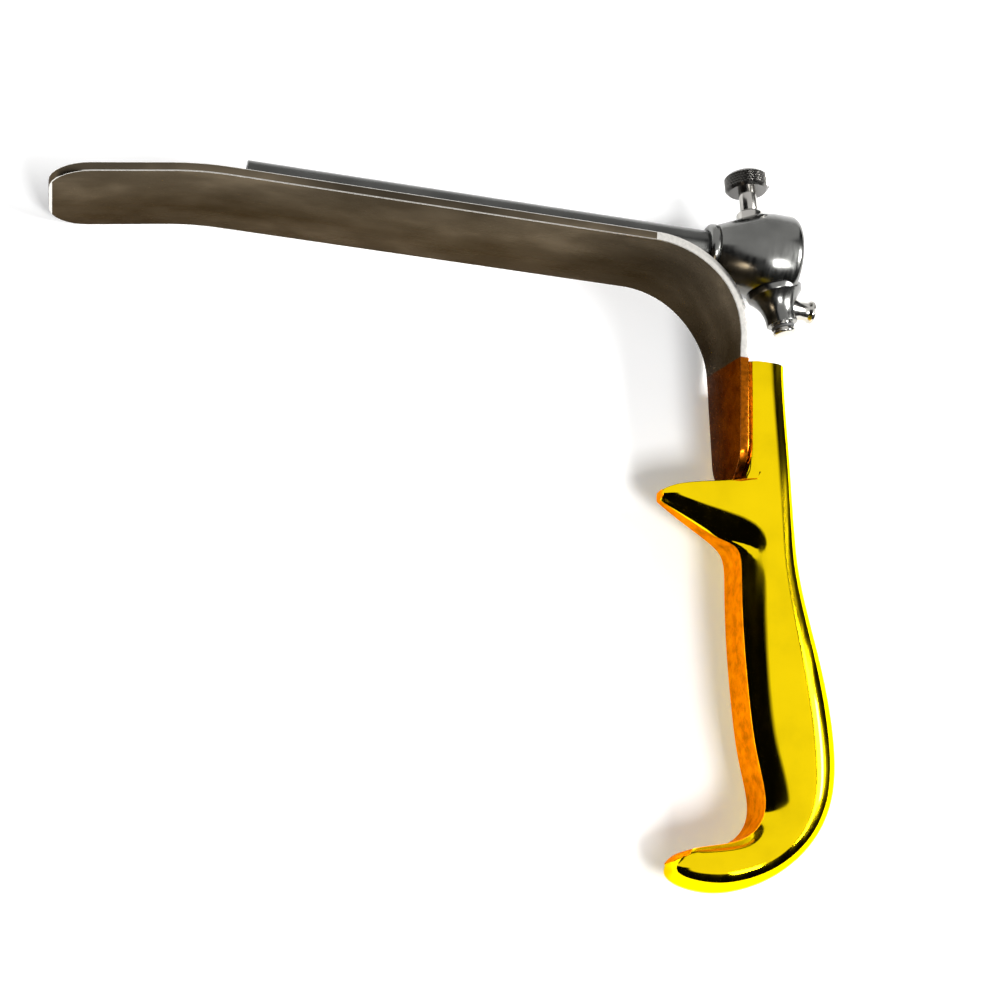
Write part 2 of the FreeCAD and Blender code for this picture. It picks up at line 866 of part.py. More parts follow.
def round_handle(form):
    """Rounds the rims of the handle, more at the back than at the front."""
    top = -size("handle_drop").value
    seam_x = grip_line() - size("full_width_setback").value
    base = helper("Part::Feature", "handle_form")
    base.Shape = form
    rims = []
    for index, edge in enumerate(form.Edges, start=1):
        box = edge.BoundBox
        across = box.ZMin < 0 < box.ZMax
        seam = box.XLength < TOLERANCE and abs(box.XMin - seam_x) < TOLERANCE
        crown = box.YLength < TOLERANCE and abs(box.YMin - top) < TOLERANCE
        if not (across or seam or crown):
            back = box.YLength > size("belly_drop").value / 2 and box.XMax > seam_x + size("handle_depth").value
            radius = size("back_fillet").value if back else size("front_fillet").value
            rims.append((index, radius, radius))
    rounded = helper("Part::Fillet", "handle_rounded")
    rounded.Base = base
    rounded.Edges = rims
    doc.recompute()
    return rounded.Shape


def make_band(side, lower):
    """The band over the hook's underside, the grip's front and the heel's top, narrower at both tips."""
    half, deep = size("handle_half").value, size("band_thickness").value
    skin = slab(side, half).cut(slab(inset_outline(side, deep), half))
    left = grip_line() - size("hook_reach").value - MARGIN
    right = grip_line() + size("band_zone_depth").value
    zone = block((left, right), (-size("heel_tip_drop").value, -size("hook_tip_drop").value), half)
    wide, tip = size("band_width").value / 2, size("band_tip_width").value / 2
    full = grip_line() - size("full_width_setback").value
    floor = -(size("heel_base_drop").value + MARGIN)
    corners = [(left, tip), (full, wide), (right, wide), (right, -wide), (full, -wide), (left, -tip)]
    points = [FreeCAD.Vector(x, floor, z) for x, z in corners]
    plan = Part.Face(Part.makePolygon(points + points[:1])).extrude(FreeCAD.Vector(0, -floor, 0))
    return skin.common(zone).common(plan).common(lower)


def make_handle():
    """Two half shells on the mid plane, a lid, the band down the grip's front, and the tang inside."""
    side = side_outline()
    rounded = round_handle(handle_solid(side))
    top, half = -size("handle_drop").value, size("handle_half").value
    lid_line = top - size("top_plate_thickness").value
    wide = size("heel_base_drop").value + MARGIN
    upper = block((-wide, wide), (lid_line, top + MARGIN), half)
    feature("handle_lid", rounded.common(upper))
    lower = rounded.cut(upper)
    band = make_band(side, lower)
    feature("front_band", band)
    wall, inset = size("handle_wall").value, size("hollow_inset").value
    grip = block((grip_line() + inset, wide), (-wide, lid_line - wall), half)
    hollow = slab(inset_outline(side, inset), half - wall).common(grip)
    pins = make_tang()
    shell = lower.cut(band).cut(hollow).cut(pins.Shape)
    far_side = FreeCAD.Vector(0, 0, -half)
    near_half = block((-wide, wide), (-wide, 0), half)
    far_half = near_half.copy()
    far_half.translate(far_side)
    near_half.translate(-far_side)
    feature("handle_shell_near", shell.common(near_half))
    feature("handle_shell_far", shell.common(far_half))


def make_tang():
    """The flat bar inside the handle, and the pins that hold the strip and the shells to it."""
    front = strip_point(size("hook_top_drop")) + size("tang_setback")
    back = front + size("tang_depth")
    top = size("handle_drop") + size("hollow_inset")
    bar = helper("Part::Box", "tang_bar")
    bind(bar, "Length", size("tang_depth"))
    bind(bar, "Width", size("tang_end_drop") - top)
    bind(bar, "Height", size("tang_width"))
    corner = FreeCAD.Vector(front.value, -size("tang_end_drop").value, -size("tang_width").value / 2)
    bar.Placement = FreeCAD.Placement(corner, FreeCAD.Rotation())
    pins, lean = [], size("strip_lean")
    clear = size("tang_pin_radius") * (sine(lean) / cosine(lean))
    for name in ("upper_pin", "lower_pin"):
        drop = size(f"{name}_drop")
        start = strip_point(drop) + clear
        place = along_x(start.value, -drop.value)
        pins.append(tool_cylinder(name, size("tang_pin_radius"), back - start, place))
    both = keep(joined("tang_pins", pins))
    keep(cut("tang", bar, both))
    return both


def check_and_write():
    doc.recompute()
    for item in doc.Objects:
        for word in ("Invalid", "Error"):
            if word in item.State:
                raise RuntimeError(f"{item.Label} is {word}")
    os.makedirs("parts", exist_ok=True)
    for part in PARTS:
        if part.Shape.isNull() or not part.Shape.isValid() or not part.Shape.Solids:
            raise RuntimeError(f"{part.Label} has no valid shape")
        part.Shape.exportStep(f"parts/{part.Label}.step")
        print(part.Label, len(part.Shape.Solids), round(part.Shape.Volume, 2))


fill_sheet()
finish_blade(make_blade())
make_clamp_ring()
make_clamp()
make_braze()
make_seal()
make_screw()
make_valve()
make_handle()
check_and_write()
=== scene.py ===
import json
import math

import bpy
from mathutils import Matrix, Vector
from mathutils.geometry import intersect_point_line


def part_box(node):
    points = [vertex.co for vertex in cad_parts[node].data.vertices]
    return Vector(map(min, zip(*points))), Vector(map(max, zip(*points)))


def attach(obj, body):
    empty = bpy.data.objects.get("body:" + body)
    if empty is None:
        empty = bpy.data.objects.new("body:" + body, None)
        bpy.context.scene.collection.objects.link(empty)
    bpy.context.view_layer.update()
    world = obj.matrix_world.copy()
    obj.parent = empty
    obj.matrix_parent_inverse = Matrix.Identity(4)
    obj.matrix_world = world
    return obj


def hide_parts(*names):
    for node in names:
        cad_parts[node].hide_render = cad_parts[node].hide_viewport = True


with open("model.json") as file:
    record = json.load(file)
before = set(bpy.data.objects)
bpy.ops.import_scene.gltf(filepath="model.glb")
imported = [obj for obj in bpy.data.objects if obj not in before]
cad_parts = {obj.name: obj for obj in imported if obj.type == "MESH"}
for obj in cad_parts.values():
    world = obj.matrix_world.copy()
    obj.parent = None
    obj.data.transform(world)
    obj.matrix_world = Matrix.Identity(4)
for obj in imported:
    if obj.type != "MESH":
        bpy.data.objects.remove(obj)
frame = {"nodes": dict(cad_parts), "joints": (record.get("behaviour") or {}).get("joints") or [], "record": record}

bl_info = {
    "name": "Endoscopic Retractor",
    "version": (1, 0, 0),
    "blender": (4, 5, 0),
    "location": "3D View > Sidebar > Retractor",
    "description": "Finished pieces, materials and a studio for an endoscopic retractor",
    "category": "Object",
}

MM = 0.001
NODES = frame["nodes"]
JOINTS = {joint["name"]: joint for joint in frame["joints"]}
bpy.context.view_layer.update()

# Sizes that the construction already holds
TUBE_LOW, TUBE_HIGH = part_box("guide_tube")
CLAMP_LOW, CLAMP_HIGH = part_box("clamp_body")
RING_LOW, RING_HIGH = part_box("clamp_ring")
RETAINER_LOW, RETAINER_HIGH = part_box("seal_retainer")
BLADE_LOW, BLADE_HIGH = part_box("blade")
MOUNTS = {mount["name"]: mount for mount in frame["record"]["mounts"]}
BORE_RADIUS = MOUNTS["scope_bore"]["dims"]["r_mm"] * MM
FLOOR_HEIGHT = BLADE_LOW.z

# Light of the studio: how far the floor is lifted to white, and the world's strength as light and as a backdrop
FLOOR_LIFT = 0.25
WORLD_LIGHT = 0.30
WORLD_BACKDROP = 1.0
# The dark wall that the polished metal mirrors: radius and height in metres, and its two ends in degrees
WALL_RADIUS, WALL_HEIGHT = 0.55, 0.95
WALL_START, WALL_END = 55.0, 300.0
WALL_FADE_START = 0.8
FLOOR_SIZE = 6.0
# Lamps: name, place, width and depth in metres, power in watts, and whether only polished metal sees it
LAMPS = (
    ("key_soft_box", (0.55, -0.06, 0.52), 0.36, 0.30, 9.0, False),
    ("small_soft_box", (0.12, -0.42, 0.62), 0.20, 0.20, 4.0, False),
    ("grip_shine", (0.46, -0.03, 0.38), 0.14, 0.08, 12.0, True),
)
LAMP_AIM = Vector((-0.05, -0.05, 0.0))

# Camera found from the blade's two edges in the photograph, in metres and along the camera's own axes
CAMERA_PLACE = Vector((-0.1630, -0.2027, 0.4066))
CAMERA_RIGHT = Vector((0.97198, 0.05095, 0.22949))
CAMERA_UP = Vector((-0.11543, 0.95389, 0.27712))
CAMERA_BACK = Vector((-0.20479, -0.29585, 0.93303))
CAMERA_LENS = 65.51
CAMERA_SENSOR = 36.0

# Sections of the handle from its top to its heel: front x and y, back x and y, half thickness, in mm
HANDLE_SECTIONS = (
    ((-15.62, -33.5), (-4.3, -33.5), 11.0),
    ((-15.5, -37.0), (-4.2, -37.0), 11.0),
    ((-15.1, -46.0), (-3.6, -46.0), 11.0),
    ((-14.6, -57.0), (-2.5, -57.0), 11.0),
    ((-14.3, -63.7), (-2.0, -64.5), 11.0),
    ((-14.3, -68.0), (-1.4, -69.5), 11.0),
    ((-14.4, -72.0), (-0.8, -74.0), 11.0),
    ((-14.5, -76.0), (-0.1, -78.5), 11.0),
    ((-14.7, -80.0), (0.6, -83.0), 11.0),
    ((-14.6, -87.0), (2.0, -90.0), 11.0),
    ((-14.3, -96.0), (4.3, -98.0), 11.0),
    ((-13.6, -106.0), (7.1, -107.0), 11.0),
    ((-12.5, -116.0), (9.6, -118.0), 11.0),
    ((-11.0, -128.0), (11.0, -129.0), 11.0),
    ((-8.6, -136.5), (10.4, -138.0), 11.0),
    ((-7.7, -141.8), (8.0, -145.0), 11.0),
    ((-8.6, -146.0), (3.8, -151.5), 11.0),
    ((-11.5, -149.6), (-2.5, -157.2), 10.9),
    ((-15.9, -151.4), (-9.5, -161.0), 10.3),
    ((-21.0, -152.3), (-17.5, -163.0), 9.0),
    ((-25.6, -153.2), (-24.0, -162.3), 7.4),
    ((-28.2, -154.6), (-28.2, -160.8), 5.8),
    ((-29.6, -156.3), (-29.9, -158.6), 4.0),
)
# Half of a section, as shares of its length and half thickness from mid-front to mid-back: the square block
# round the strip, and the crowned grip below it
BLOCK_SHAPE = (
    (0.0, 0.0), (0.0, 0.38), (0.0, 0.75), (0.08, 0.93), (0.25, 1.0), (0.45, 1.0),
    (0.62, 1.0), (0.80, 0.965), (0.94, 0.80), (0.995, 0.42), (1.0, 0.0),
)
GRIP_SHAPE = (
    (0.0, 0.0), (0.0, 0.27), (0.0, 0.545), (0.13, 0.74), (0.27, 0.88), (0.42, 0.97),
    (0.60, 1.0), (0.77, 0.93), (0.89, 0.74), (0.97, 0.42), (1.0, 0.0),
)
BLOCK_END, GRIP_START = -64.0, -80.0
# Steps of the hook from the grip's front to its tip: x, top y, underside y, half thickness, in mm
HOOK_STEPS = (
    (-19.0, -63.9, -78.0, 8.6),
    (-24.0, -64.2, -75.2, 7.0),
    (-28.6, -64.8, -72.6, 5.6),
    (-31.8, -65.6, -70.6, 4.4),
    (-34.0, -66.8, -69.4, 2.8),
)
# How much of the hook's thickness is lost at its top and at its underside, for its round section
HOOK_ROUND_TOP, HOOK_ROUND_UNDER = 0.36, 0.75
# The faces that the hook grows from: how deep they reach behind the front, and half their thickness, in mm
HOOK_DEPTH, HOOK_ROOT_HALF = 3.6, 10.3
# How much of its bulge the hook's end keeps at each step
HOOK_FLATTEN = 0.75
HOOK_FIRST, HOOK_LAST = 4, 8
BAND_FIRST = 8


# The slanting line where the strip's plating starts: how far it slants, and its soft edge
PLATING_SLANT = (0.0, 1.0, 0.1375)
PLATING_START, PLATING_FULL = -31.75 * MM, -31.95 * MM


class RetractorSizes(bpy.types.PropertyGroup):
    blade_thickness: bpy.props.FloatProperty(
        name="Blade thickness", description="Thickness of the blade's strip",
        default=2.2 * MM, unit="LENGTH")
    blade_edge: bpy.props.FloatProperty(
        name="Blade edge", description="Width of the polished round along the blade's edges",
        default=0.35 * MM, unit="LENGTH")
    bend_radius: bpy.props.FloatProperty(
        name="Bend radius", description="Inner radius of the bend from the blade to the handle",
        default=23.0 * MM, unit="LENGTH")
    bend_centre: bpy.props.FloatProperty(
        name="Bend centre", description="Place of the bend's centre along the scope's axis",
        default=-41.0 * MM, unit="LENGTH")
    strip_lean: bpy.props.FloatProperty(
        name="Strip lean", description="Outward lean of the strip that runs down to the handle",
        default=math.radians(2.5), unit="ROTATION")
    tip_bend: bpy.props.FloatProperty(
        name="Tip bend", description="Angle of the lip at the blade's tip",
        default=math.radians(9.5), unit="ROTATION")
    tip_bend_radius: bpy.props.FloatProperty(
        name="Tip bend radius", description="Inner radius of the lip's bend",
        default=80.0 * MM, unit="LENGTH")
    tip_length: bpy.props.FloatProperty(
        name="Tip length", description="Straight length of the lip",
        default=28.0 * MM, unit="LENGTH")
    tip_corner: bpy.props.FloatProperty(
        name="Tip corner", description="Radius of the blade's rounded tip corners",
        default=9.5 * MM, unit="LENGTH")
    knurl_rows: bpy.props.IntProperty(
        name="Knurl rows", description="Points of the knurl round the thumb screw's head", default=44, min=12)
    knurl_height: bpy.props.FloatProperty(
        name="Knurl height", description="How far the knurl's points stand out",
        default=0.32 * MM, unit="LENGTH")
    knurl_twist: bpy.props.FloatProperty(
        name="Knurl twist", description="Turn of each row of points against the next",
        default=math.radians(4.1), unit="ROTATION")


class RetractorColours(bpy.types.PropertyGroup):
    blade: bpy.props.FloatVectorProperty(
        name="Blade", description="Dark satin steel of the blade", subtype="COLOR",
        default=(0.078, 0.062, 0.042), size=3)
    steel: bpy.props.FloatVectorProperty(
        name="Steel", description="Grey steel of the tube and the clamp", subtype="COLOR",
        default=(0.20, 0.20, 0.19), size=3)
    bright: bpy.props.FloatVectorProperty(
        name="Turned steel", description="Bright steel of the turned pieces", subtype="COLOR",
        default=(0.60, 0.58, 0.54), size=3)
    gold: bpy.props.FloatVectorProperty(
        name="Gold", description="Mirror gold plating of the handle", subtype="COLOR",
        default=(0.95, 0.68, 0.003), size=3)
    band: bpy.props.FloatVectorProperty(
        name="Satin gold", description="Satin plating of the front band", subtype="COLOR",
        default=(0.85, 0.26, 0.002), size=3)
    plating: bpy.props.FloatVectorProperty(
        name="Plated strip", description="Dark plating of the strip above the handle", subtype="COLOR",
        default=(0.118, 0.030, 0.001), size=3)
    rubber: bpy.props.FloatVectorProperty(
        name="Rubber", description="Black silicone of the seals", subtype="COLOR",
        default=(0.02, 0.02, 0.02), size=3)


def deselect_all():
    if bpy.context.object and bpy.context.object.mode != "OBJECT":
        bpy.ops.object.mode_set(mode="OBJECT")
    bpy.ops.object.select_all(action="DESELECT")


def pick(obj):
    deselect_all()
    obj.select_set(True)
    bpy.context.view_layer.objects.active = obj


def select_faces(obj, test):
    """Selects in edit mode the faces whose middle and normal pass a test, and nothing else."""
    pick(obj)
    bpy.ops.object.mode_set(mode="EDIT")
    bpy.ops.mesh.select_mode(type="FACE")
    bpy.ops.mesh.select_all(action="DESELECT")
    bpy.ops.object.mode_set(mode="OBJECT")
    for face in obj.data.polygons:
        face.select = test(face.center, face.normal)
    bpy.ops.object.mode_set(mode="EDIT")


def settle(obj):
    """Leaves the object at the origin, with its place in its mesh."""
    pick(obj)
    bpy.ops.object.transform_apply(location=True, rotation=True, scale=True)


def smooth(obj, angle=35.0):
    pick(obj)
    bpy.ops.object.shade_smooth_by_angle(angle=math.radians(angle))


def add_modifier(obj, kind, **settings):
    """Adds a modifier with its settings and applies it."""
    pick(obj)
    bpy.ops.object.modifier_add(type=kind)
    modifier = obj.modifiers[-1]
    for name, value in settings.items():
        setattr(modifier, name, value)
    bpy.ops.object.modifier_apply(modifier=modifier.name)


def finish_piece(obj, body, nodes, material):
    """Puts a piece on its body, in place of its nodes, with its finish."""
    obj.data.materials.clear()
    obj.data.materials.append(material)
    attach(obj, body)
    if nodes:
        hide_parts(*nodes)


def axis_place(origin, direction):
    """Turns a piece's own Z axis to a direction, from an origin."""
    turn = Vector(direction).normalized().to_track_quat("Z", "X").to_matrix().to_4x4()
    return Matrix.Translation(Vector(origin)) @ turn


def bore_place():
    return axis_place((0, 0, 0), (1, 0, 0))


def screw_place():
    joint = JOINTS["screw_turn"]
    return axis_place(joint["pos_m"], -Vector(joint["axis"]))


def valve_place():
    joint = JOINTS["valve_turn"]
    return axis_place(joint["pos_m"], joint["axis"])


def turned(name, profile, place, edge=0.15 * MM, around=96):
    """A turned piece: a ring is extruded along the profile's (height, radius) points.

    A profile that ends where it starts is a sleeve, and any other is capped at both ends.
    """
    deselect_all()
    height, radius = profile[0]
    bpy.ops.mesh.primitive_circle_add(vertices=around, radius=radius, location=(0, 0, height))
    obj = bpy.context.object
    obj.name = name
    bpy.ops.object.mode_set(mode="EDIT")
    bpy.ops.mesh.select_all(action="SELECT")
    sleeve = profile[0] == profile[-1]
    if not sleeve:
        bpy.ops.mesh.edge_face_add()
        bpy.ops.mesh.select_all(action="SELECT")
        bpy.ops.mesh.select_mode(type="EDGE")
    for (low, start), (high, end) in zip(profile, profile[1:]):
        bpy.ops.mesh.extrude_edges_move(TRANSFORM_OT_translate={"value": (0, 0, high - low)})
        bpy.ops.transform.resize(value=(end / start, end / start, 1), center_override=(0, 0, high))
    if not sleeve:
        bpy.ops.mesh.edge_face_add()
    bpy.ops.mesh.select_all(action="SELECT")
    bpy.ops.mesh.remove_doubles(threshold=0.002 * MM)
    bpy.ops.mesh.normals_make_consistent(inside=False)
    bpy.ops.object.mode_set(mode="OBJECT")
    obj.matrix_world = place @ Matrix.Translation((0, 0, height))
    settle(obj)
    if edge:
        add_modifier(obj, "BEVEL", width=edge, segments=3, limit_method="ANGLE", angle_limit=math.radians(28))
    smooth(obj)
    return obj


def arc(centre, radius, start, end, steps):
    """Points of an arc, as (height, radius) pairs, from one angle to another in degrees."""
    points = []
    for step in range(steps + 1):
        angle = math.radians(start + (end - start) * step / steps)
        points.append((centre[0] + radius * math.sin(angle), centre[1] + radius * math.cos(angle)))
    return points


def new_material(name):
    material = bpy.data.materials.new(name)
    material.use_nodes = True
    tree = material.node_tree
    return material, tree, tree.nodes["Principled BSDF"]


def mapped(tree, scale):
    """Object coordinates, stretched by a scale along each axis."""
    place = tree.nodes.new("ShaderNodeTexCoord")
    mapping = tree.nodes.new("ShaderNodeMapping")
    mapping.inputs["Scale"].default_value = scale
    tree.links.new(place.outputs["Object"], mapping.inputs["Vector"])
    return mapping.outputs["Vector"]


def noise(tree, scale, detail, stretch=(1, 1, 1), roughness=0.5):
    texture = tree.nodes.new("ShaderNodeTexNoise")
    texture.inputs["Scale"].default_value = scale
    texture.inputs["Detail"].default_value = detail
    texture.inputs["Roughness"].default_value = roughness
    tree.links.new(mapped(tree, stretch), texture.inputs["Vector"])
    return texture.outputs["Fac"]


def ramp(tree, factor, stops):
    """A colour ramp with (position, colour) stops."""
    node = tree.nodes.new("ShaderNodeValToRGB")
    while len(node.color_ramp.elements) < len(stops):
        node.color_ramp.elements.new(0.5)
    for element, (position, colour) in zip(node.color_ramp.elements, stops):
        element.position = position
        element.color = (*colour, 1) if len(colour) == 3 else colour
    tree.links.new(factor, node.inputs["Fac"])
    return node.outputs["Color"]


def shade(colour, amount):
    return tuple(min(1.0, channel * amount) for channel in colour)


def spread(tree, factor, low, high):
    """Draws a 0 to 1 factor out to a range of values."""
    node = tree.nodes.new("ShaderNodeMapRange")
    node.inputs["From Min"].default_value = 0.3
    node.inputs["From Max"].default_value = 0.7
    node.inputs["To Min"].default_value = low
    node.inputs["To Max"].default_value = high
    tree.links.new(factor, node.inputs["Value"])
    return node.outputs["Result"]


def bumped(tree, shader, factor, distance, strength=1.0):
    node = tree.nodes.new("ShaderNodeBump")
    node.inputs["Strength"].default_value = strength
    node.inputs["Distance"].default_value = distance
    tree.links.new(factor, node.inputs["Height"])
    tree.links.new(node.outputs["Normal"], shader.inputs["Normal"])


def mixed(tree, factor, first, second):
    node = tree.nodes.new("ShaderNodeMix")
    node.data_type = "RGBA"
    tree.links.new(factor, node.inputs["Factor"])
    tree.links.new(first, node.inputs["A"])
    tree.links.new(second, node.inputs["B"])
    return node.outputs["Result"]


def satin_blade_material(colours):
    """Dark satin steel with soft clouds and a fine lengthwise grain, plated below a slanting line."""
    material, tree, shader = new_material("satin_blade_steel")
    shader.inputs["Metallic"].default_value = 1.0
    clouds = noise(tree, 55.0, 3.0, (0.7, 1.0, 1.2))
    steel = ramp(tree, clouds, [(0.35, shade(colours.blade, 0.62)), (0.55, shade(colours.blade, 1.0)),
                                (0.72, shade(colours.blade, 1.7))])
    patina = noise(tree, 260.0, 5.0, (1.0, 1.0, 1.0), 0.6)
    plating = ramp(tree, patina, [(0.3, shade(colours.plating, 0.6)), (0.5, colours.plating[:]),
                                  (0.75, shade(colours.plating, 1.6))])
    tree.links.new(mixed(tree, plating_line(tree), steel, plating), shader.inputs["Base Color"])
    grain = noise(tree, 900.0, 2.0, (0.06, 1.0, 1.0))
    tree.links.new(spread(tree, grain, 0.24, 0.36), shader.inputs["Roughness"])
    shader.inputs["Specular Tint"].default_value = (0.45, 0.42, 0.40, 1)
    bumped(tree, shader, grain, 0.004 * MM)
    return material


def polished_edge_and_highlight_material(colours):
    """Bright polished steel along the blade's edges, with fine marks across the edge, plated below the line; on
    the strip's side faces past the bend it is a painted highlight.
    """
    material, tree, shader = new_material("polished_edge_and_highlight_steel")
    shader.inputs["Metallic"].default_value = 1.0
    marks = noise(tree, 1200.0, 2.0, (1.0, 1.0, 0.1))
    bright = ramp(tree, marks, [(0.3, shade(colours.bright, 1.15)), (0.7, shade(colours.bright, 1.3))])
    plating = ramp(tree, marks, [(0.3, shade(colours.plating, 1.6)), (0.7, shade(colours.plating, 3.0))])
    tree.links.new(mixed(tree, plating_line(tree), bright, plating), shader.inputs["Base Color"])
    tree.links.new(spread(tree, marks, 0.14, 0.18), shader.inputs["Roughness"])
    return material


def plating_line(tree):
    """0 above the slanting line where the gold plating of the strip starts, and 1 below it."""
    place = tree.nodes.new("ShaderNodeTexCoord")
    slant = tree.nodes.new("ShaderNodeVectorMath")
    slant.operation = "DOT_PRODUCT"
    slant.inputs[1].default_value = PLATING_SLANT
    tree.links.new(place.outputs["Object"], slant.inputs[0])
    line = tree.nodes.new("ShaderNodeMapRange")
    line.inputs["From Min"].default_value = PLATING_START
    line.inputs["From Max"].default_value = PLATING_FULL
    tree.links.new(slant.outputs["Value"], line.inputs["Value"])
    return line.outputs["Result"]


def tube_material(name, colour, rough, stretch, contrast=0.2):
    """Grey steel, drawn or turned, with a fine grain along the way that it was worked."""
    material, tree, shader = new_material(name)
    shader.inputs["Metallic"].default_value = 1.0
    clouds = noise(tree, 90.0, 3.0)
    tint = ramp(tree, clouds, [(0.3, shade(colour, 1.0 - contrast)), (0.7, shade(colour, 1.0 + contrast))])
    tree.links.new(tint, shader.inputs["Base Color"])
    grain = noise(tree, 1500.0, 3.0, stretch)
    tree.links.new(spread(tree, grain, rough * 0.8, rough * 1.3), shader.inputs["Roughness"])
    bumped(tree, shader, grain, 0.003 * MM)
    return material


def gold_material(colours):
    """Mirror gold plating: nearly even, with soft waves left by hand polishing and faint wipe marks."""
    material, tree, shader = new_material("mirror_gold_plating")
    shader.inputs["Metallic"].default_value = 1.0
    clouds = noise(tree, 60.0, 4.0)
    tint = ramp(tree, clouds, [(0.3, shade(colours.gold, 0.82)), (0.5, shade(colours.gold, 0.95)),
                               (0.7, colours.gold[:])])
    tree.links.new(tint, shader.inputs["Base Color"])
    shader.inputs["Specular Tint"].default_value = (1.0, 0.80, 0.10, 1)
    wipes = noise(tree, 400.0, 4.0, (1.0, 0.12, 1.0))
    tree.links.new(spread(tree, wipes, 0.05, 0.13), shader.inputs["Roughness"])
    waves = noise(tree, 110.0, 2.0, (1.0, 0.45, 1.0))
    bumped(tree, shader, waves, 0.12 * MM, 0.35)
    return material


def satin_gold_material(colours):
    """Satin gold plating of the front band, blotched and finely grained."""
    material, tree, shader = new_material("satin_gold_plating")
    shader.inputs["Metallic"].default_value = 1.0
    blotches = noise(tree, 320.0, 5.0, (1.0, 1.0, 1.0), 0.62)
    tint = ramp(tree, blotches, [(0.3, shade(colours.band, 0.6)), (0.5, shade(colours.band, 1.0)),
                                 (0.72, shade(colours.band, 1.5))])
    tree.links.new(tint, shader.inputs["Base Color"])
    shader.inputs["Specular Tint"].default_value = (1.0, 0.50, 0.04, 1)
    grain = noise(tree, 2200.0, 2.0)
    tree.links.new(spread(tree, grain, 0.34, 0.5), shader.inputs["Roughness"])
    bumped(tree, shader, grain, 0.01 * MM)
    return material


def rubber_material(colours):
    material, tree, shader = new_material("seal_silicone")
    dust = noise(tree, 700.0, 4.0)
    tint = ramp(tree, dust, [(0.3, colours.rubber[:]), (0.8, shade(colours.rubber, 2.0))])
    tree.links.new(tint, shader.inputs["Base Color"])
    tree.links.new(spread(tree, dust, 0.5, 0.7), shader.inputs["Roughness"])
    bumped(tree, shader, dust, 0.01 * MM)
    return material


def finishes():
    """The materials by name, made once."""
    made = bpy.data.materials
    if "mirror_gold_plating" not in made:
        colours = bpy.context.scene.retractor_colours
        satin_blade_material(colours)
        polished_edge_and_highlight_material(colours)
        gold_material(colours)
        satin_gold_material(colours)
        rubber_material(colours)
        # The tube takes the steel at about a third of its tone, darker than the clamp: a painted reflection of the
        # dark surroundings that the drawn tube mirrors.
        tube_material("drawn_tube_steel_painted_dark", shade(colours.steel, 0.35), 0.22, (0.03, 1.0, 1.0))
        tube_material("polished_clamp_steel", shade(colours.steel, 0.75), 0.2, (1.0, 0.2, 0.2))
        tube_material("turned_bright_steel", shade(colours.bright, 0.7), 0.16, (1.0, 1.0, 1.0), 0.12)
        # The knurled head takes the turned steel at about a fifth of its tone, far darker than the turned pieces:
        # painted shade for the shaded head and its dark reflections.
        tube_material("knurled_head_steel_painted_shade", shade(colours.bright, 0.22), 0.2, (1.0, 1.0, 1.0), 0.3)
        tube_material("braze_metal", colours.bright, 0.34, (0.3, 1.0, 1.0), 0.25)
        tube_material("machined_inner_steel", colours.steel, 0.4, (1.0, 1.0, 1.0))
    return made


class RETRACTOR_OT_add_stage(bpy.types.Operator):
    """Adds the pale floor, the soft lamps, the dark wall that the metal mirrors, and the camera"""

    bl_idname = "retractor.add_stage"
    bl_label = "Add stage and camera"

    def execute(self, context):
        add_floor()
        add_world()
        for lamp in LAMPS:
            add_lamp(*lamp)
        add_dark_wall()
        add_camera()
        return {"FINISHED"}


def add_floor():
    deselect_all()
    bpy.ops.mesh.primitive_plane_add(size=FLOOR_SIZE, location=(0, 0, FLOOR_HEIGHT))
    floor = bpy.context.object
    floor.name = "floor"
    settle(floor)
    material, tree, shader = new_material("pale_floor")
    shader.inputs["Roughness"].default_value = 0.9
    speckle = noise(tree, 40.0, 3.0)
    tint = ramp(tree, speckle, [(0.3, (0.86, 0.86, 0.86)), (0.7, (0.90, 0.90, 0.90))])
    tree.links.new(tint, shader.inputs["Base Color"])
    shader.inputs["Emission Color"].default_value = (1, 1, 1, 1)
    lift = tree.nodes.new("ShaderNodeMath")
    lift.operation = "MULTIPLY"
    lift.inputs[1].default_value = FLOOR_LIFT
    tree.links.new(seen_directly(tree), lift.inputs[0])
    tree.links.new(lift.outputs["Value"], shader.inputs["Emission Strength"])
    floor.data.materials.append(material)


def add_world():
    """A white backdrop for what looks at it, and a softer light from it on the instrument."""
    world = bpy.data.worlds.new("studio")
    bpy.context.scene.world = world
    world.use_nodes = True
    tree = world.node_tree
    backdrop = tree.nodes["Background"]
    backdrop.inputs["Color"].default_value = (1, 1, 1, 1)
    strength = tree.nodes.new("ShaderNodeMapRange")
    strength.inputs["To Min"].default_value = WORLD_LIGHT
    strength.inputs["To Max"].default_value = WORLD_BACKDROP
    tree.links.new(seen_directly(tree), strength.inputs["Value"])
    tree.links.new(strength.outputs["Result"], backdrop.inputs["Strength"])


def seen_directly(tree):
    """1 for rays from the camera, from a mirror and through glass, and 0 for light that falls on a surface."""
    path = tree.nodes.new("ShaderNodeLightPath")
    total = path.outputs["Is Camera Ray"]
    for name in ("Is Glossy Ray", "Is Transmission Ray"):
        larger = tree.nodes.new("ShaderNodeMath")
        larger.operation = "MAXIMUM"
        tree.links.new(total, larger.inputs[0])
        tree.links.new(path.outputs[name], larger.inputs[1])
        total = larger.outputs["Value"]
    return total


def add_lamp(name, place, width, depth, power, shine_only):
    """A soft box that looks at the middle of the instrument, or is seen in its polished metal alone."""
    deselect_all()
    bpy.ops.object.light_add(type="AREA", location=place)
    lamp = bpy.context.object
    lamp.name = name
    lamp.data.shape = "RECTANGLE"
    lamp.data.size = width
    lamp.data.size_y = depth
    lamp.data.energy = power
    lamp.visible_diffuse = not shine_only
    lamp.rotation_euler = (LAMP_AIM - Vector(place)).to_track_quat("-Z", "Y").to_euler()


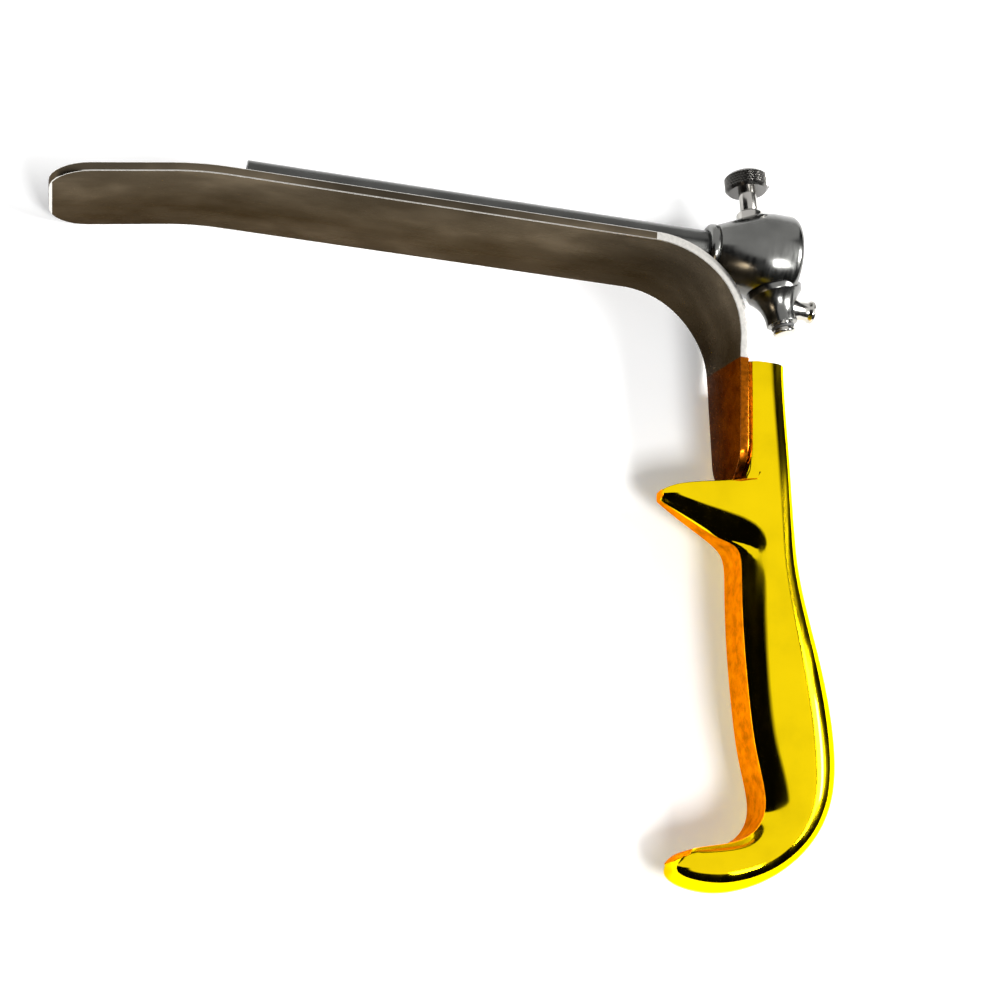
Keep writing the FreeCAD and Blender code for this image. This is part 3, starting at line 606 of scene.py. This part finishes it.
def add_dark_wall():
    """A dark curved wall round three sides of the stage, seen only by the polished metal, soft at its top."""
    deselect_all()
    start = math.radians(WALL_START)
    place = (WALL_RADIUS * math.cos(start), WALL_RADIUS * math.sin(start), FLOOR_HEIGHT)
    bpy.ops.mesh.primitive_plane_add(size=1.0, location=place)
    wall = bpy.context.object
    wall.name = "dark_wall"
    bpy.ops.object.mode_set(mode="EDIT")
    bpy.ops.mesh.select_all(action="SELECT")
    bpy.ops.mesh.merge(type="CENTER")
    bpy.ops.mesh.extrude_vertices_move(TRANSFORM_OT_translate={"value": (0, 0, WALL_HEIGHT)})
    bpy.ops.mesh.select_all(action="SELECT")
    bpy.ops.mesh.spin(steps=48, angle=math.radians(WALL_END - WALL_START), center=(0, 0, 0), axis=(0, 0, 1))
    bpy.ops.object.mode_set(mode="OBJECT")
    settle(wall)
    material, tree, shader = new_material("black_felt")
    shader.inputs["Base Color"].default_value = (0.001, 0.001, 0.001, 1)
    shader.inputs["Specular IOR Level"].default_value = 0.0
    shader.inputs["Roughness"].default_value = 1.0
    height = tree.nodes.new("ShaderNodeSeparateXYZ")
    tree.links.new(mapped(tree, (1, 1, 1)), height.inputs["Vector"])
    fade = tree.nodes.new("ShaderNodeMapRange")
    fade.inputs["From Min"].default_value = WALL_HEIGHT * WALL_FADE_START
    fade.inputs["From Max"].default_value = WALL_HEIGHT
    fade.inputs["To Min"].default_value = 1.0
    fade.inputs["To Max"].default_value = 0.0
    tree.links.new(height.outputs["Z"], fade.inputs["Value"])
    tree.links.new(fade.outputs["Result"], shader.inputs["Alpha"])
    wall.data.materials.append(material)
    wall.visible_camera = False
    wall.visible_shadow = False
    wall.visible_diffuse = False


def add_camera():
    deselect_all()
    bpy.ops.object.camera_add()
    camera = bpy.context.object
    camera.name = "photo_camera"
    camera.data.sensor_width = CAMERA_SENSOR
    camera.data.lens = CAMERA_LENS
    camera.data.clip_start = 0.01
    turn = Matrix((CAMERA_RIGHT, CAMERA_UP, CAMERA_BACK)).transposed().to_4x4()
    camera.matrix_world = Matrix.Translation(CAMERA_PLACE) @ turn
    bpy.context.scene.camera = camera


def blade_stations(sizes):
    """Points along the blade's inner face from its tip to the strip's end, each with the half width there."""
    inner = TUBE_LOW.y - sizes.blade_thickness
    half, corner = BLADE_HIGH.z, sizes.tip_corner
    bend, centre = sizes.bend_radius, sizes.bend_centre
    lip, radius = sizes.tip_bend, sizes.tip_bend_radius
    tip_start = centre - 105.0 * MM
    along = Vector((-math.cos(lip), -math.sin(lip)))
    root = Vector((tip_start - radius * math.sin(lip), inner - radius + radius * math.cos(lip)))
    stations = []
    for step in range(9):
        turn = math.radians(90.0 * step / 8)
        back = corner * (1 - math.cos(turn))
        stations.append((root + along * (sizes.tip_length - back), half - corner * (1 - math.sin(turn))))
    stations.append((root + along * (sizes.tip_length * 0.3), half))
    for step in range(9):
        turn = lip * (1 - step / 8)
        place = Vector((tip_start - radius * math.sin(turn), inner - radius + radius * math.cos(turn)))
        stations.append((place, half))
    for share in (0.2, 0.4, 0.6, 0.8):
        stations.append((Vector((tip_start + (centre - tip_start) * share, inner)), half))
    sweep = math.radians(90) - sizes.strip_lean
    for step in range(33):
        turn = sweep * step / 32
        place = Vector((centre + bend * math.sin(turn), inner - bend + bend * math.cos(turn)))
        stations.append((place, strip_half_width(place.y)))
    last = stations[-1][0]
    slope = math.tan(sizes.strip_lean)
    for step in range(1, 25):
        y = last.y + (BLADE_LOW.y - last.y) * (1 - (1 - step / 24) ** 1.6)
        stations.append((Vector((last.x + (last.y - y) * slope, y)), strip_half_width(y)))
    return stations


def strip_half_width(y):
    """Half the strip's width at a height: it draws in below the bend and ends in a round tongue."""
    half, neck, tongue = BLADE_HIGH.z, 12.0 * MM, 10.5 * MM
    top, low, tongue_start = -14.0 * MM, -38.0 * MM, -54.0 * MM
    if y > top:
        return half
    if y > low:
        share = (top - y) / (top - low)
        return half + (neck - half) * (3 * share ** 2 - 2 * share ** 3)
    if y > tongue_start:
        return neck + (tongue - neck) * (low - y) / (low - tongue_start)
    share = min(1.0, (tongue_start - y) / (tongue_start - BLADE_LOW.y))
    return max(1.2 * MM, tongue * math.sqrt(max(0.0, 1 - share ** 2)))


def is_narrow(mesh, face, width):
    """True for a long face no wider than this, such as those of a rounded edge."""
    points = [mesh.vertices[number].co for number in face.vertices]
    longest = max((first - second).length for first, second in zip(points, points[1:] + points[:1]))
    return face.area < width * longest


class RETRACTOR_OT_add_blade(bpy.types.Operator):
    """Adds the blade: a strip drawn along its stations, given its thickness and polished edges, with a painted
    highlight on its side faces at the bend
    """

    bl_idname = "retractor.add_blade"
    bl_label = "Add blade"

    def execute(self, context):
        sizes = context.scene.retractor_sizes
        stations = blade_stations(sizes)
        deselect_all()
        place, half = stations[0]
        bpy.ops.mesh.primitive_plane_add(size=1.0, location=(place.x, place.y, 0))
        blade = context.object
        blade.name = "blade_strip"
        bpy.ops.object.mode_set(mode="EDIT")
        bpy.ops.mesh.select_all(action="SELECT")
        bpy.ops.transform.resize(value=(0, 0, 0), center_override=(place.x, place.y, 0))
        bpy.ops.mesh.remove_doubles(threshold=0.001 * MM)
        bpy.ops.transform.translate(value=(0, 0, -half))
        bpy.ops.mesh.extrude_vertices_move(TRANSFORM_OT_translate={"value": (0, 0, half * 2)})
        bpy.ops.mesh.select_all(action="SELECT")
        bpy.ops.mesh.select_mode(type="EDGE")
        for following, wide in stations[1:]:
            step = (following.x - place.x, following.y - place.y, 0)
            bpy.ops.mesh.extrude_edges_move(TRANSFORM_OT_translate={"value": step})
            bpy.ops.transform.resize(value=(1, 1, wide / half), center_override=(following.x, following.y, 0))
            place, half = following, wide
        bpy.ops.mesh.select_all(action="SELECT")
        bpy.ops.mesh.normals_make_consistent(inside=False)
        bpy.ops.object.mode_set(mode="OBJECT")
        settle(blade)
        middle = min(blade.data.polygons, key=lambda face: abs(face.center.x + 0.1))
        outward = 1.0 if middle.normal.y > 0 else -1.0
        add_modifier(blade, "SOLIDIFY", thickness=sizes.blade_thickness, offset=outward, use_even_offset=True)
        add_modifier(blade, "BEVEL", width=sizes.blade_edge, segments=3, limit_method="ANGLE",
                     angle_limit=math.radians(50))
        smooth(blade, 30.0)
        finish_piece(blade, "root", ["blade"], finishes()["satin_blade_steel"])
        blade.data.materials.append(finishes()["polished_edge_and_highlight_steel"])
        # The strip's side faces past the bend's centre take the bright steel as a painted highlight where the
        # bend's edge shines; the narrow rounded edges take it all along as their polished finish.
        for face in blade.data.polygons:
            bend_side_highlight = abs(face.normal.z) > 0.9 and face.center.x > sizes.bend_centre
            if bend_side_highlight or is_narrow(blade.data, face, sizes.blade_edge):
                face.material_index = 1
        return {"FINISHED"}


def cut_cross_bore(tube):
    """Opens the tube's wall under the thumb screw, for the pad and the screw's end."""
    radius, depth, middle = 2.42 * MM, 3.4 * MM, 4.2 * MM
    deselect_all()
    bpy.ops.mesh.primitive_cylinder_add(vertices=48, radius=radius, depth=depth)
    cutter = bpy.context.object
    cutter.matrix_world = screw_place() @ Matrix.Translation((0, 0, middle))
    add_modifier(tube, "BOOLEAN", operation="DIFFERENCE", object=cutter, solver="EXACT")
    smooth(tube)
    pick(cutter)
    bpy.ops.object.delete()


class RETRACTOR_OT_add_tube(bpy.types.Operator):
    """Adds the scope tube along the blade, with its open mouth, and finishes the braze beside it"""

    bl_idname = "retractor.add_tube"
    bl_label = "Add scope tube"

    def execute(self, context):
        radius = TUBE_HIGH.z
        front, rear = TUBE_LOW.x, TUBE_HIGH.x
        profile = [(front, BORE_RADIUS), (front, radius), (rear, radius), (rear, BORE_RADIUS),
                   (front, BORE_RADIUS)]
        tube = turned("scope_tube", profile, bore_place(), 0.12 * MM)
        cut_cross_bore(tube)
        finish_piece(tube, "root", ["guide_tube"], finishes()["drawn_tube_steel_painted_dark"])
        braze = NODES["tube_braze"]
        braze.data.materials.clear()
        braze.data.materials.append(finishes()["braze_metal"])
        return {"FINISHED"}


class RETRACTOR_OT_add_clamp(bpy.types.Operator):
    """Adds the scope clamp: its ring, its cone and barrel, the screw's bush, the seal and its retainer"""

    bl_idname = "retractor.add_clamp"
    bl_label = "Add scope clamp"

    def execute(self, context):
        made, place = finishes(), bore_place()
        hold = TUBE_HIGH.z + 0.02 * MM
        cone, rear = CLAMP_LOW.x, CLAMP_HIGH.x
        barrel, radius, root = -9.0 * MM, CLAMP_HIGH.z, RING_HIGH.z
        room = RETAINER_HIGH.z + 0.02 * MM
        pocket = RETAINER_LOW.x
        rounding = 2.4 * MM
        ease, fall = 1.5 * MM, 0.55 * MM
        outer = [(cone, hold), (cone, root), (barrel - ease, radius - fall), (barrel + ease, radius)]
        outer += arc((rear - rounding, radius - rounding), rounding, 0, 78, 8)
        outer += [(rear, room), (pocket, room), (pocket, hold), (cone, hold)]
        body = turned("clamp_barrel", outer, place, 0.2 * MM)
        finish_piece(body, "root", ["clamp_body"], made["polished_clamp_steel"])
        low, high = RING_LOW.x, RING_HIGH.x
        nose, groove = 1.4 * MM, 0.5 * MM
        collar = [(low, hold)]
        collar += arc((low + nose, root - nose), nose, -80, 0, 6)
        collar += [(high - groove, root), (high - groove, root - groove), (high, root - groove),
                   (high, hold), (low, hold)]
        ring = turned("clamp_collar", collar, place, 0.1 * MM)
        finish_piece(ring, "root", ["clamp_ring"], made["polished_clamp_steel"])
        outside = RETAINER_HIGH.z
        rim, recess, mouth, throat = 0.4 * MM, 0.5 * MM, 1.6 * MM, 1.1 * MM
        plate = [(pocket, BORE_RADIUS), (pocket, outside), (-rim, outside), (0, outside - rim),
                 (0, BORE_RADIUS + mouth), (-recess, BORE_RADIUS + throat), (-recess, BORE_RADIUS),
                 (pocket, BORE_RADIUS)]
        retainer = turned("retainer_plate", plate, place, 0.12 * MM)
        finish_piece(retainer, "root", ["seal_retainer"], made["turned_bright_steel"])
        seal_low, seal_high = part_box("scope_seal")
        lip, back, front = BORE_RADIUS + 0.05 * MM, seal_high.x, seal_low.x
        slope = 0.3 * MM
        soft = [(front, lip + slope), (front, seal_high.z), (back, seal_high.z), (back, lip + slope)]
        soft += [((front + back) / 2, lip), (front, lip + slope)]
        seal = turned("scope_seal_ring", soft, place, 0.1 * MM, 64)
        finish_piece(seal, "root", ["scope_seal"], made["seal_silicone"])
        foot, shoulder, top = 5.6 * MM, 11.6 * MM, 12.2 * MM
        hole, outside, crown = 2.36 * MM, 3.5 * MM, 2.9 * MM
        bush = [(foot, hole), (foot, outside), (shoulder, outside), (top, crown), (top, hole), (foot, hole)]
        collar = turned("screw_bushing", bush, screw_place(), 0.12 * MM, 64)
        finish_piece(collar, "root", ["screw_bush"], made["turned_bright_steel"])
        return {"FINISHED"}


class RETRACTOR_OT_add_thumb_screw(bpy.types.Operator):
    """Adds the thumb screw: its knurled head, its shaft with a thread, and the pad that grips the scope"""

    bl_idname = "retractor.add_thumb_screw"
    bl_label = "Add thumb screw"

    def execute(self, context):
        sizes, made, place = context.scene.retractor_sizes, finishes(), screw_place()
        seat, top, radius = 18.1 * MM, 22.7 * MM, 5.8 * MM - sizes.knurl_height
        head = knurled_head(sizes, seat, top, radius, place)
        finish_piece(head, "thumb_screw", ["knob_head"], made["knurled_head_steel_painted_shade"])
        shaft, neck = 2.3 * MM, 1.0 * MM
        end, neck_top, relief, groove = 4.65 * MM, 5.6 * MM, 1.9 * MM, 0.35 * MM
        profile = [(end, neck), (neck_top, neck), (neck_top, relief)]
        height, pitch, thread_end = 6.0 * MM, 0.7 * MM, 12.0 * MM
        while height < thread_end:
            profile += [(height, shaft), (height + pitch / 2, shaft - groove)]
            height += pitch
        profile += [(height + 0.3 * MM, shaft), (seat, shaft)]
        stem = turned("screw_stem", profile, place, 0.0, 64)
        finish_piece(stem, "thumb_screw", ["screw_shaft"], made["turned_bright_steel"])
        sole, chamfer, floor, crown = 4.0 * MM, 4.5 * MM, 4.6 * MM, 5.55 * MM
        centre, hole, face, outside = 0.05 * MM, 1.05 * MM, 1.4 * MM, 1.9 * MM
        pad = [(sole, centre), (sole, face), (chamfer, outside), (crown, outside),
               (crown, hole), (floor, hole), (floor, centre)]
        foot = turned("grip_pad", pad, place, 0.05 * MM, 48)
        finish_piece(foot, "pad", ["pressure_pad"], made["turned_bright_steel"])
        return {"FINISHED"}


def knurled_head(sizes, seat, top, radius, place):
    """The screw's head: a drum whose wall is cut into twisted squares, each drawn up to a point."""
    rim, rows = 0.55 * MM, 5
    profile = [(seat, radius * 0.45), (seat, radius - rim), (seat + rim, radius)]
    for row in range(1, rows + 1):
        profile.append((seat + rim + (top - seat - rim * 2) * row / rows, radius))
    profile += [(top, radius - rim), (top - 0.25 * MM, radius * 0.72), (top - 0.25 * MM, radius * 0.1)]
    deselect_all()
    bpy.ops.mesh.primitive_circle_add(vertices=sizes.knurl_rows, radius=profile[0][1], location=(0, 0, seat))
    head = bpy.context.object
    head.name = "knurled_drum"
    bpy.ops.object.mode_set(mode="EDIT")
    bpy.ops.mesh.select_all(action="SELECT")
    bpy.ops.mesh.edge_face_add()
    bpy.ops.mesh.select_mode(type="EDGE")
    for number, ((low, start), (high, end)) in enumerate(zip(profile, profile[1:])):
        bpy.ops.mesh.extrude_edges_move(TRANSFORM_OT_translate={"value": (0, 0, high - low)})
        bpy.ops.transform.resize(value=(end / start, end / start, 1), center_override=(0, 0, high))
        if 2 <= number < 2 + rows:
            bpy.ops.transform.rotate(value=sizes.knurl_twist, orient_axis="Z", center_override=(0, 0, high))
    bpy.ops.mesh.edge_face_add()
    bpy.ops.mesh.select_all(action="SELECT")
    bpy.ops.mesh.normals_make_consistent(inside=False)
    bpy.ops.object.mode_set(mode="OBJECT")
    wall_low, wall_high = rim * 1.05, top - seat - rim * 1.05
    select_faces(head, lambda middle, normal: wall_low < middle.z < wall_high and abs(normal.z) < 0.1)
    bpy.ops.mesh.poke(offset=sizes.knurl_height)
    bpy.ops.object.mode_set(mode="OBJECT")
    head.matrix_world = place @ Matrix.Translation((0, 0, seat))
    settle(head)
    smooth(head, 20.0)
    return head


class RETRACTOR_OT_add_suction_port(bpy.types.Operator):
    """Adds the suction port: its flared barrel, its hose nozzle, and the turning plug with seal and cap"""

    bl_idname = "retractor.add_suction_port"
    bl_label = "Add suction port"

    def execute(self, context):
        made, place = finishes(), valve_place()
        tip, end, wide = 4.0 * MM, 18.6 * MM, 7.4 * MM
        root, floor, passage, room = 9.4 * MM, 12.95 * MM, 1.4 * MM, 2.66 * MM
        flare = [(root, passage), (root, wide)]
        flare += [(height * MM, radius * MM) for height, radius in
                  ((10.8, 7.0), (11.8, 6.0), (12.9, 5.2), (14.2, 4.55), (15.6, 4.15), (16.8, 4.0))]
        flare += [(end, tip), (end, room), (floor, room), (floor, passage), (root, passage)]
        barrel = turned("port_barrel", flare, place, 0.12 * MM)
        finish_piece(barrel, "root", ["valve_barrel"], made["polished_clamp_steel"])
        reach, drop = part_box("hose_nozzle")[1].x, -13.4 * MM
        bore, stem, bead = 1.5 * MM, 2.5 * MM, 3.05 * MM
        outline = [(-1.6 * MM, bore), (-1.6 * MM, 3.5 * MM), (0.6 * MM, 3.2 * MM), (2.0 * MM, stem),
                   (reach - 1.9 * MM, stem), (reach - 1.1 * MM, bead), (reach - 0.4 * MM, bead),
                   (reach, bead - 0.5 * MM), (reach, bore), (-1.6 * MM, bore)]
        nozzle = turned("hose_spout", outline, axis_place((0, drop, 0), (1, 0, 0)), 0.12 * MM)
        finish_piece(nozzle, "root", ["hose_nozzle"], made["turned_bright_steel"])
        core_radius, groove_radius = 2.6 * MM, 2.0 * MM
        start, groove_low, groove_high, shelf = 13.0 * MM, 18.9 * MM, 19.9 * MM, 20.4 * MM
        plug = [(start, groove_radius), (start, core_radius), (groove_low, core_radius),
                (groove_low, groove_radius), (groove_high, groove_radius), (groove_high, core_radius),
                (shelf, core_radius)]
        core = turned("port_plug", plug, place, 0.06 * MM, 72)
        finish_piece(core, "valve", ["valve_plug"], made["turned_bright_steel"])
        section = [(19.4 * MM + height, 2.55 * MM + radius - 0.5 * MM)
                   for height, radius in arc((0, 0.5 * MM), 0.44 * MM, 0, 360, 12)]
        section[-1] = section[0]
        ring = turned("port_seal_ring", section, place, 0.0, 64)
        finish_piece(ring, "valve", ["plug_seal"], made["seal_silicone"])
        rim, crown, cap_radius = 21.0 * MM, 21.3 * MM, 2.9 * MM
        cap = [(shelf, 1.0 * MM), (shelf, cap_radius), (rim, cap_radius), (crown, core_radius),
               (crown, 0.6 * MM)]
        disc = turned("port_cap", cap, place, 0.06 * MM, 72)
        finish_piece(disc, "valve", ["plug_cap"], made["turned_bright_steel"])
        return {"FINISHED"}


def section_outline(height, length, half):
    """Half of the handle's section at a height, from mid-front to mid-back, in mm."""
    share = min(1.0, max(0.0, (BLOCK_END - height) / (BLOCK_END - GRIP_START)))
    outline = []
    for (block_depth, block_across), (grip_depth, grip_across) in zip(BLOCK_SHAPE, GRIP_SHAPE):
        depth = block_depth + (grip_depth - block_depth) * share
        across = block_across + (grip_across - block_across) * share
        outline.append((depth * length, across * half))
    return outline


def handle_section(front, back, half):
    """Adds one closed section of the handle as a ring, in the plane of its front and back points."""
    start, end = Vector((*front, 0)), Vector((*back, 0))
    side = section_outline(front[1], (end - start).length, half)
    ring = side + [(depth, -across) for depth, across in reversed(side[1:-1])]
    bpy.ops.mesh.primitive_circle_add(vertices=len(ring), radius=1.0)
    section = bpy.context.object
    along = (end - start).normalized()
    for vertex, (depth, across) in zip(section.data.vertices, ring):
        vertex.co = (start + along * depth + Vector((0, 0, across))) * MM
    return section


def handle_cage():
    """The handle's coarse cage: its sections bridged from the top to the heel, with the hook drawn out."""
    sections = []
    for front, back, half in HANDLE_SECTIONS:
        deselect_all()
        sections.append(handle_section(front, back, half))
    pick(sections[0])
    for section in sections:
        section.select_set(True)
    bpy.ops.object.join()
    cage = bpy.context.object
    cage.name = "handle_shell"
    bpy.ops.object.mode_set(mode="EDIT")
    bpy.ops.mesh.select_all(action="SELECT")
    bpy.ops.mesh.bridge_edge_loops(type="SINGLE")
    bpy.ops.object.mode_set(mode="OBJECT")
    close_end(cage, lambda point: abs(point.y - HANDLE_SECTIONS[0][0][1] * MM) < 0.01 * MM, crease=1.0)
    last = HANDLE_SECTIONS[-1]
    reach = min(last[0][0], last[1][0]) + 0.5
    close_end(cage, lambda point: point.x < reach * MM and point.y < last[0][1] * MM + 0.01 * MM, crease=0.0)
    pick(cage)
    bpy.ops.object.mode_set(mode="EDIT")
    bpy.ops.mesh.select_all(action="SELECT")
    bpy.ops.mesh.normals_make_consistent(inside=False)
    bpy.ops.object.mode_set(mode="OBJECT")
    draw_hook(cage)
    return cage


def close_end(cage, test, crease):
    """Fills an open end of the cage, and creases its rim where the real edge is sharp."""
    pick(cage)
    bpy.ops.object.mode_set(mode="EDIT")
    bpy.ops.mesh.select_mode(type="VERT")
    bpy.ops.mesh.select_all(action="DESELECT")
    bpy.ops.object.mode_set(mode="OBJECT")
    for vertex in cage.data.vertices:
        vertex.select = test(vertex.co)
    bpy.ops.object.mode_set(mode="EDIT")
    bpy.ops.mesh.edge_face_add()
    if crease:
        bpy.ops.transform.edge_crease(value=crease)
    bpy.ops.object.mode_set(mode="OBJECT")


def draw_hook(cage):
    """Extrudes the front of the grip into the finger hook, step by step, narrowing it to its tip."""
    top = HANDLE_SECTIONS[HOOK_FIRST][0][1] * MM
    low = HANDLE_SECTIONS[HOOK_LAST][0][1] * MM
    front = HANDLE_SECTIONS[HOOK_FIRST][0][0] * MM

    def on_front(middle, normal):
        return low < middle.y < top and normal.x < -0.1 and middle.x < front + HOOK_DEPTH * MM

    select_faces(cage, on_front)
    x, high, under, half = front / MM, top / MM, low / MM, HOOK_ROOT_HALF
    for number, (next_x, next_high, next_under, next_half) in enumerate(HOOK_STEPS):
        middle, next_middle = (high + under) / 2, (next_high + next_under) / 2
        step = ((next_x - x) * MM, (next_middle - middle) * MM, 0)
        bpy.ops.mesh.extrude_region_move(TRANSFORM_OT_translate={"value": step})
        tall = (next_high - next_under) / (high - under)
        centre = (next_x * MM, next_middle * MM, 0)
        narrowing = (HOOK_FLATTEN, tall, next_half / half)
        bpy.ops.transform.resize(value=narrowing, center_override=centre)
        x, high, under, half = next_x, next_high, next_under, next_half
        if number == 0:
            round_hook(cage, high, under)
    bpy.ops.object.mode_set(mode="OBJECT")


def round_hook(cage, high, under):
    """Thins the drawn-out faces towards the hook's top and underside, so that its section is round."""
    bpy.ops.object.mode_set(mode="OBJECT")
    for vertex in cage.data.vertices:
        if vertex.select:
            place = max(-1.0, min(1.0, (vertex.co.y / MM - under) / (high - under) * 2 - 1))
            loss = HOOK_ROUND_TOP if place > 0 else HOOK_ROUND_UNDER
            vertex.co.z *= math.sqrt(1 - loss * place ** 2)
    bpy.ops.object.mode_set(mode="EDIT")


def on_band(middle, normal):
    """True for the faces of the cage that the satin front band covers."""
    near, slack = 0.5, 0.01
    downward, forward = -0.8, -0.6
    place = Vector((middle.x / MM, middle.y / MM))
    hook_front = HANDLE_SECTIONS[HOOK_FIRST][0][0] - near
    if place.y > HANDLE_SECTIONS[BAND_FIRST][0][1] + slack:
        tip = normal.x < forward and place.x < HOOK_STEPS[-2][0]
        return place.x < hook_front and (normal.y < downward or tip)
    fronts = [Vector(front) for front, back, half in HANDLE_SECTIONS[BAND_FIRST:]]
    for first, second in zip(fronts, fronts[1:]):
        nearest, share = intersect_point_line(place, first, second)
        if -slack < share < 1 + slack and (place - nearest.to_2d()).length < near:
            return True
    return False


class RETRACTOR_OT_add_handle(bpy.types.Operator):
    """Adds the hollow gold handle with its finger hook and heel, and the satin band down its front"""

    bl_idname = "retractor.add_handle"
    bl_label = "Add handle"

    def execute(self, context):
        made = finishes()
        handle = handle_cage()
        mark_band(handle)
        crease_band(handle)
        add_modifier(handle, "SUBSURF", levels=2, render_levels=2)
        pick(handle)
        bpy.ops.object.duplicate()
        band = context.object
        band.name = "handle_front_band"
        keep_marked(band)
        add_modifier(band, "SOLIDIFY", thickness=0.10 * MM, offset=1.0)
        handle.data.attributes.remove(handle.data.attributes["band"])
        smooth(handle, 35.0)
        smooth(band, 40.0)
        shells = ["handle_shell_near", "handle_shell_far", "handle_lid"]
        finish_piece(handle, "root", shells, made["mirror_gold_plating"])
        finish_piece(band, "root", ["front_band"], made["satin_gold_plating"])
        for name in ("tang", "tang_pins"):
            NODES[name].data.materials.clear()
            NODES[name].data.materials.append(made["machined_inner_steel"])
        return {"FINISHED"}


def mark_band(cage):
    """Writes on each face of the cage whether the band covers it."""
    marks = cage.data.attributes.new("band", "INT", "FACE")
    for number, face in enumerate(cage.data.polygons):
        marks.data[number].value = int(on_band(face.center, face.normal))


def crease_band(cage):
    """Keeps the cage sharp along the band's borders."""
    beside = {}
    for face, mark in zip(cage.data.polygons, cage.data.attributes["band"].data):
        for key in face.edge_keys:
            beside.setdefault(key, set()).add(mark.value)
    pick(cage)
    bpy.ops.object.mode_set(mode="EDIT")
    bpy.ops.mesh.select_mode(type="EDGE")
    bpy.ops.mesh.select_all(action="DESELECT")
    bpy.ops.object.mode_set(mode="OBJECT")
    for edge in cage.data.edges:
        edge.select = len(beside[edge.key]) == 2
    bpy.ops.object.mode_set(mode="EDIT")
    bpy.ops.transform.edge_crease(value=1.0)
    bpy.ops.object.mode_set(mode="OBJECT")


def keep_marked(band):
    """Deletes all faces but those that the band covers."""
    marks = [item.value for item in band.data.attributes["band"].data]
    pick(band)
    bpy.ops.object.mode_set(mode="EDIT")
    bpy.ops.mesh.select_mode(type="FACE")
    bpy.ops.mesh.select_all(action="DESELECT")
    bpy.ops.object.mode_set(mode="OBJECT")
    for face, mark in zip(band.data.polygons, marks):
        face.select = mark == 0
    bpy.ops.object.mode_set(mode="EDIT")
    bpy.ops.mesh.delete(type="FACE")
    bpy.ops.object.mode_set(mode="OBJECT")
    band.data.attributes.remove(band.data.attributes["band"])


class RETRACTOR_PT_panel(bpy.types.Panel):
    """Lists the retractor's pieces, sizes and colours"""

    bl_idname = "RETRACTOR_PT_panel"
    bl_label = "Endoscopic Retractor"
    bl_space_type = "VIEW_3D"
    bl_region_type = "UI"
    bl_category = "Retractor"

    def draw(self, context):
        layout = self.layout
        for group in (context.scene.retractor_sizes, context.scene.retractor_colours):
            for name in group.__annotations__:
                layout.prop(group, name)
        for operator in OPERATORS:
            layout.operator(operator.bl_idname)


OPERATORS = (
    RETRACTOR_OT_add_stage,
    RETRACTOR_OT_add_blade,
    RETRACTOR_OT_add_tube,
    RETRACTOR_OT_add_clamp,
    RETRACTOR_OT_add_thumb_screw,
    RETRACTOR_OT_add_suction_port,
    RETRACTOR_OT_add_handle,
)
CLASSES = (RetractorSizes, RetractorColours, *OPERATORS, RETRACTOR_PT_panel)


def register():
    for item in CLASSES:
        bpy.utils.register_class(item)
    bpy.types.Scene.retractor_sizes = bpy.props.PointerProperty(type=RetractorSizes)
    bpy.types.Scene.retractor_colours = bpy.props.PointerProperty(type=RetractorColours)


def unregister():
    del bpy.types.Scene.retractor_colours
    del bpy.types.Scene.retractor_sizes
    for item in reversed(CLASSES):
        bpy.utils.unregister_class(item)


def main():
    """Builds the whole scene."""
    register()
    bpy.context.scene.view_settings.view_transform = "Standard"
    bpy.ops.retractor.add_stage()
    bpy.ops.retractor.add_blade()
    bpy.ops.retractor.add_tube()
    bpy.ops.retractor.add_clamp()
    bpy.ops.retractor.add_thumb_screw()
    bpy.ops.retractor.add_suction_port()
    bpy.ops.retractor.add_handle()


if __name__ == "__main__":
    main()
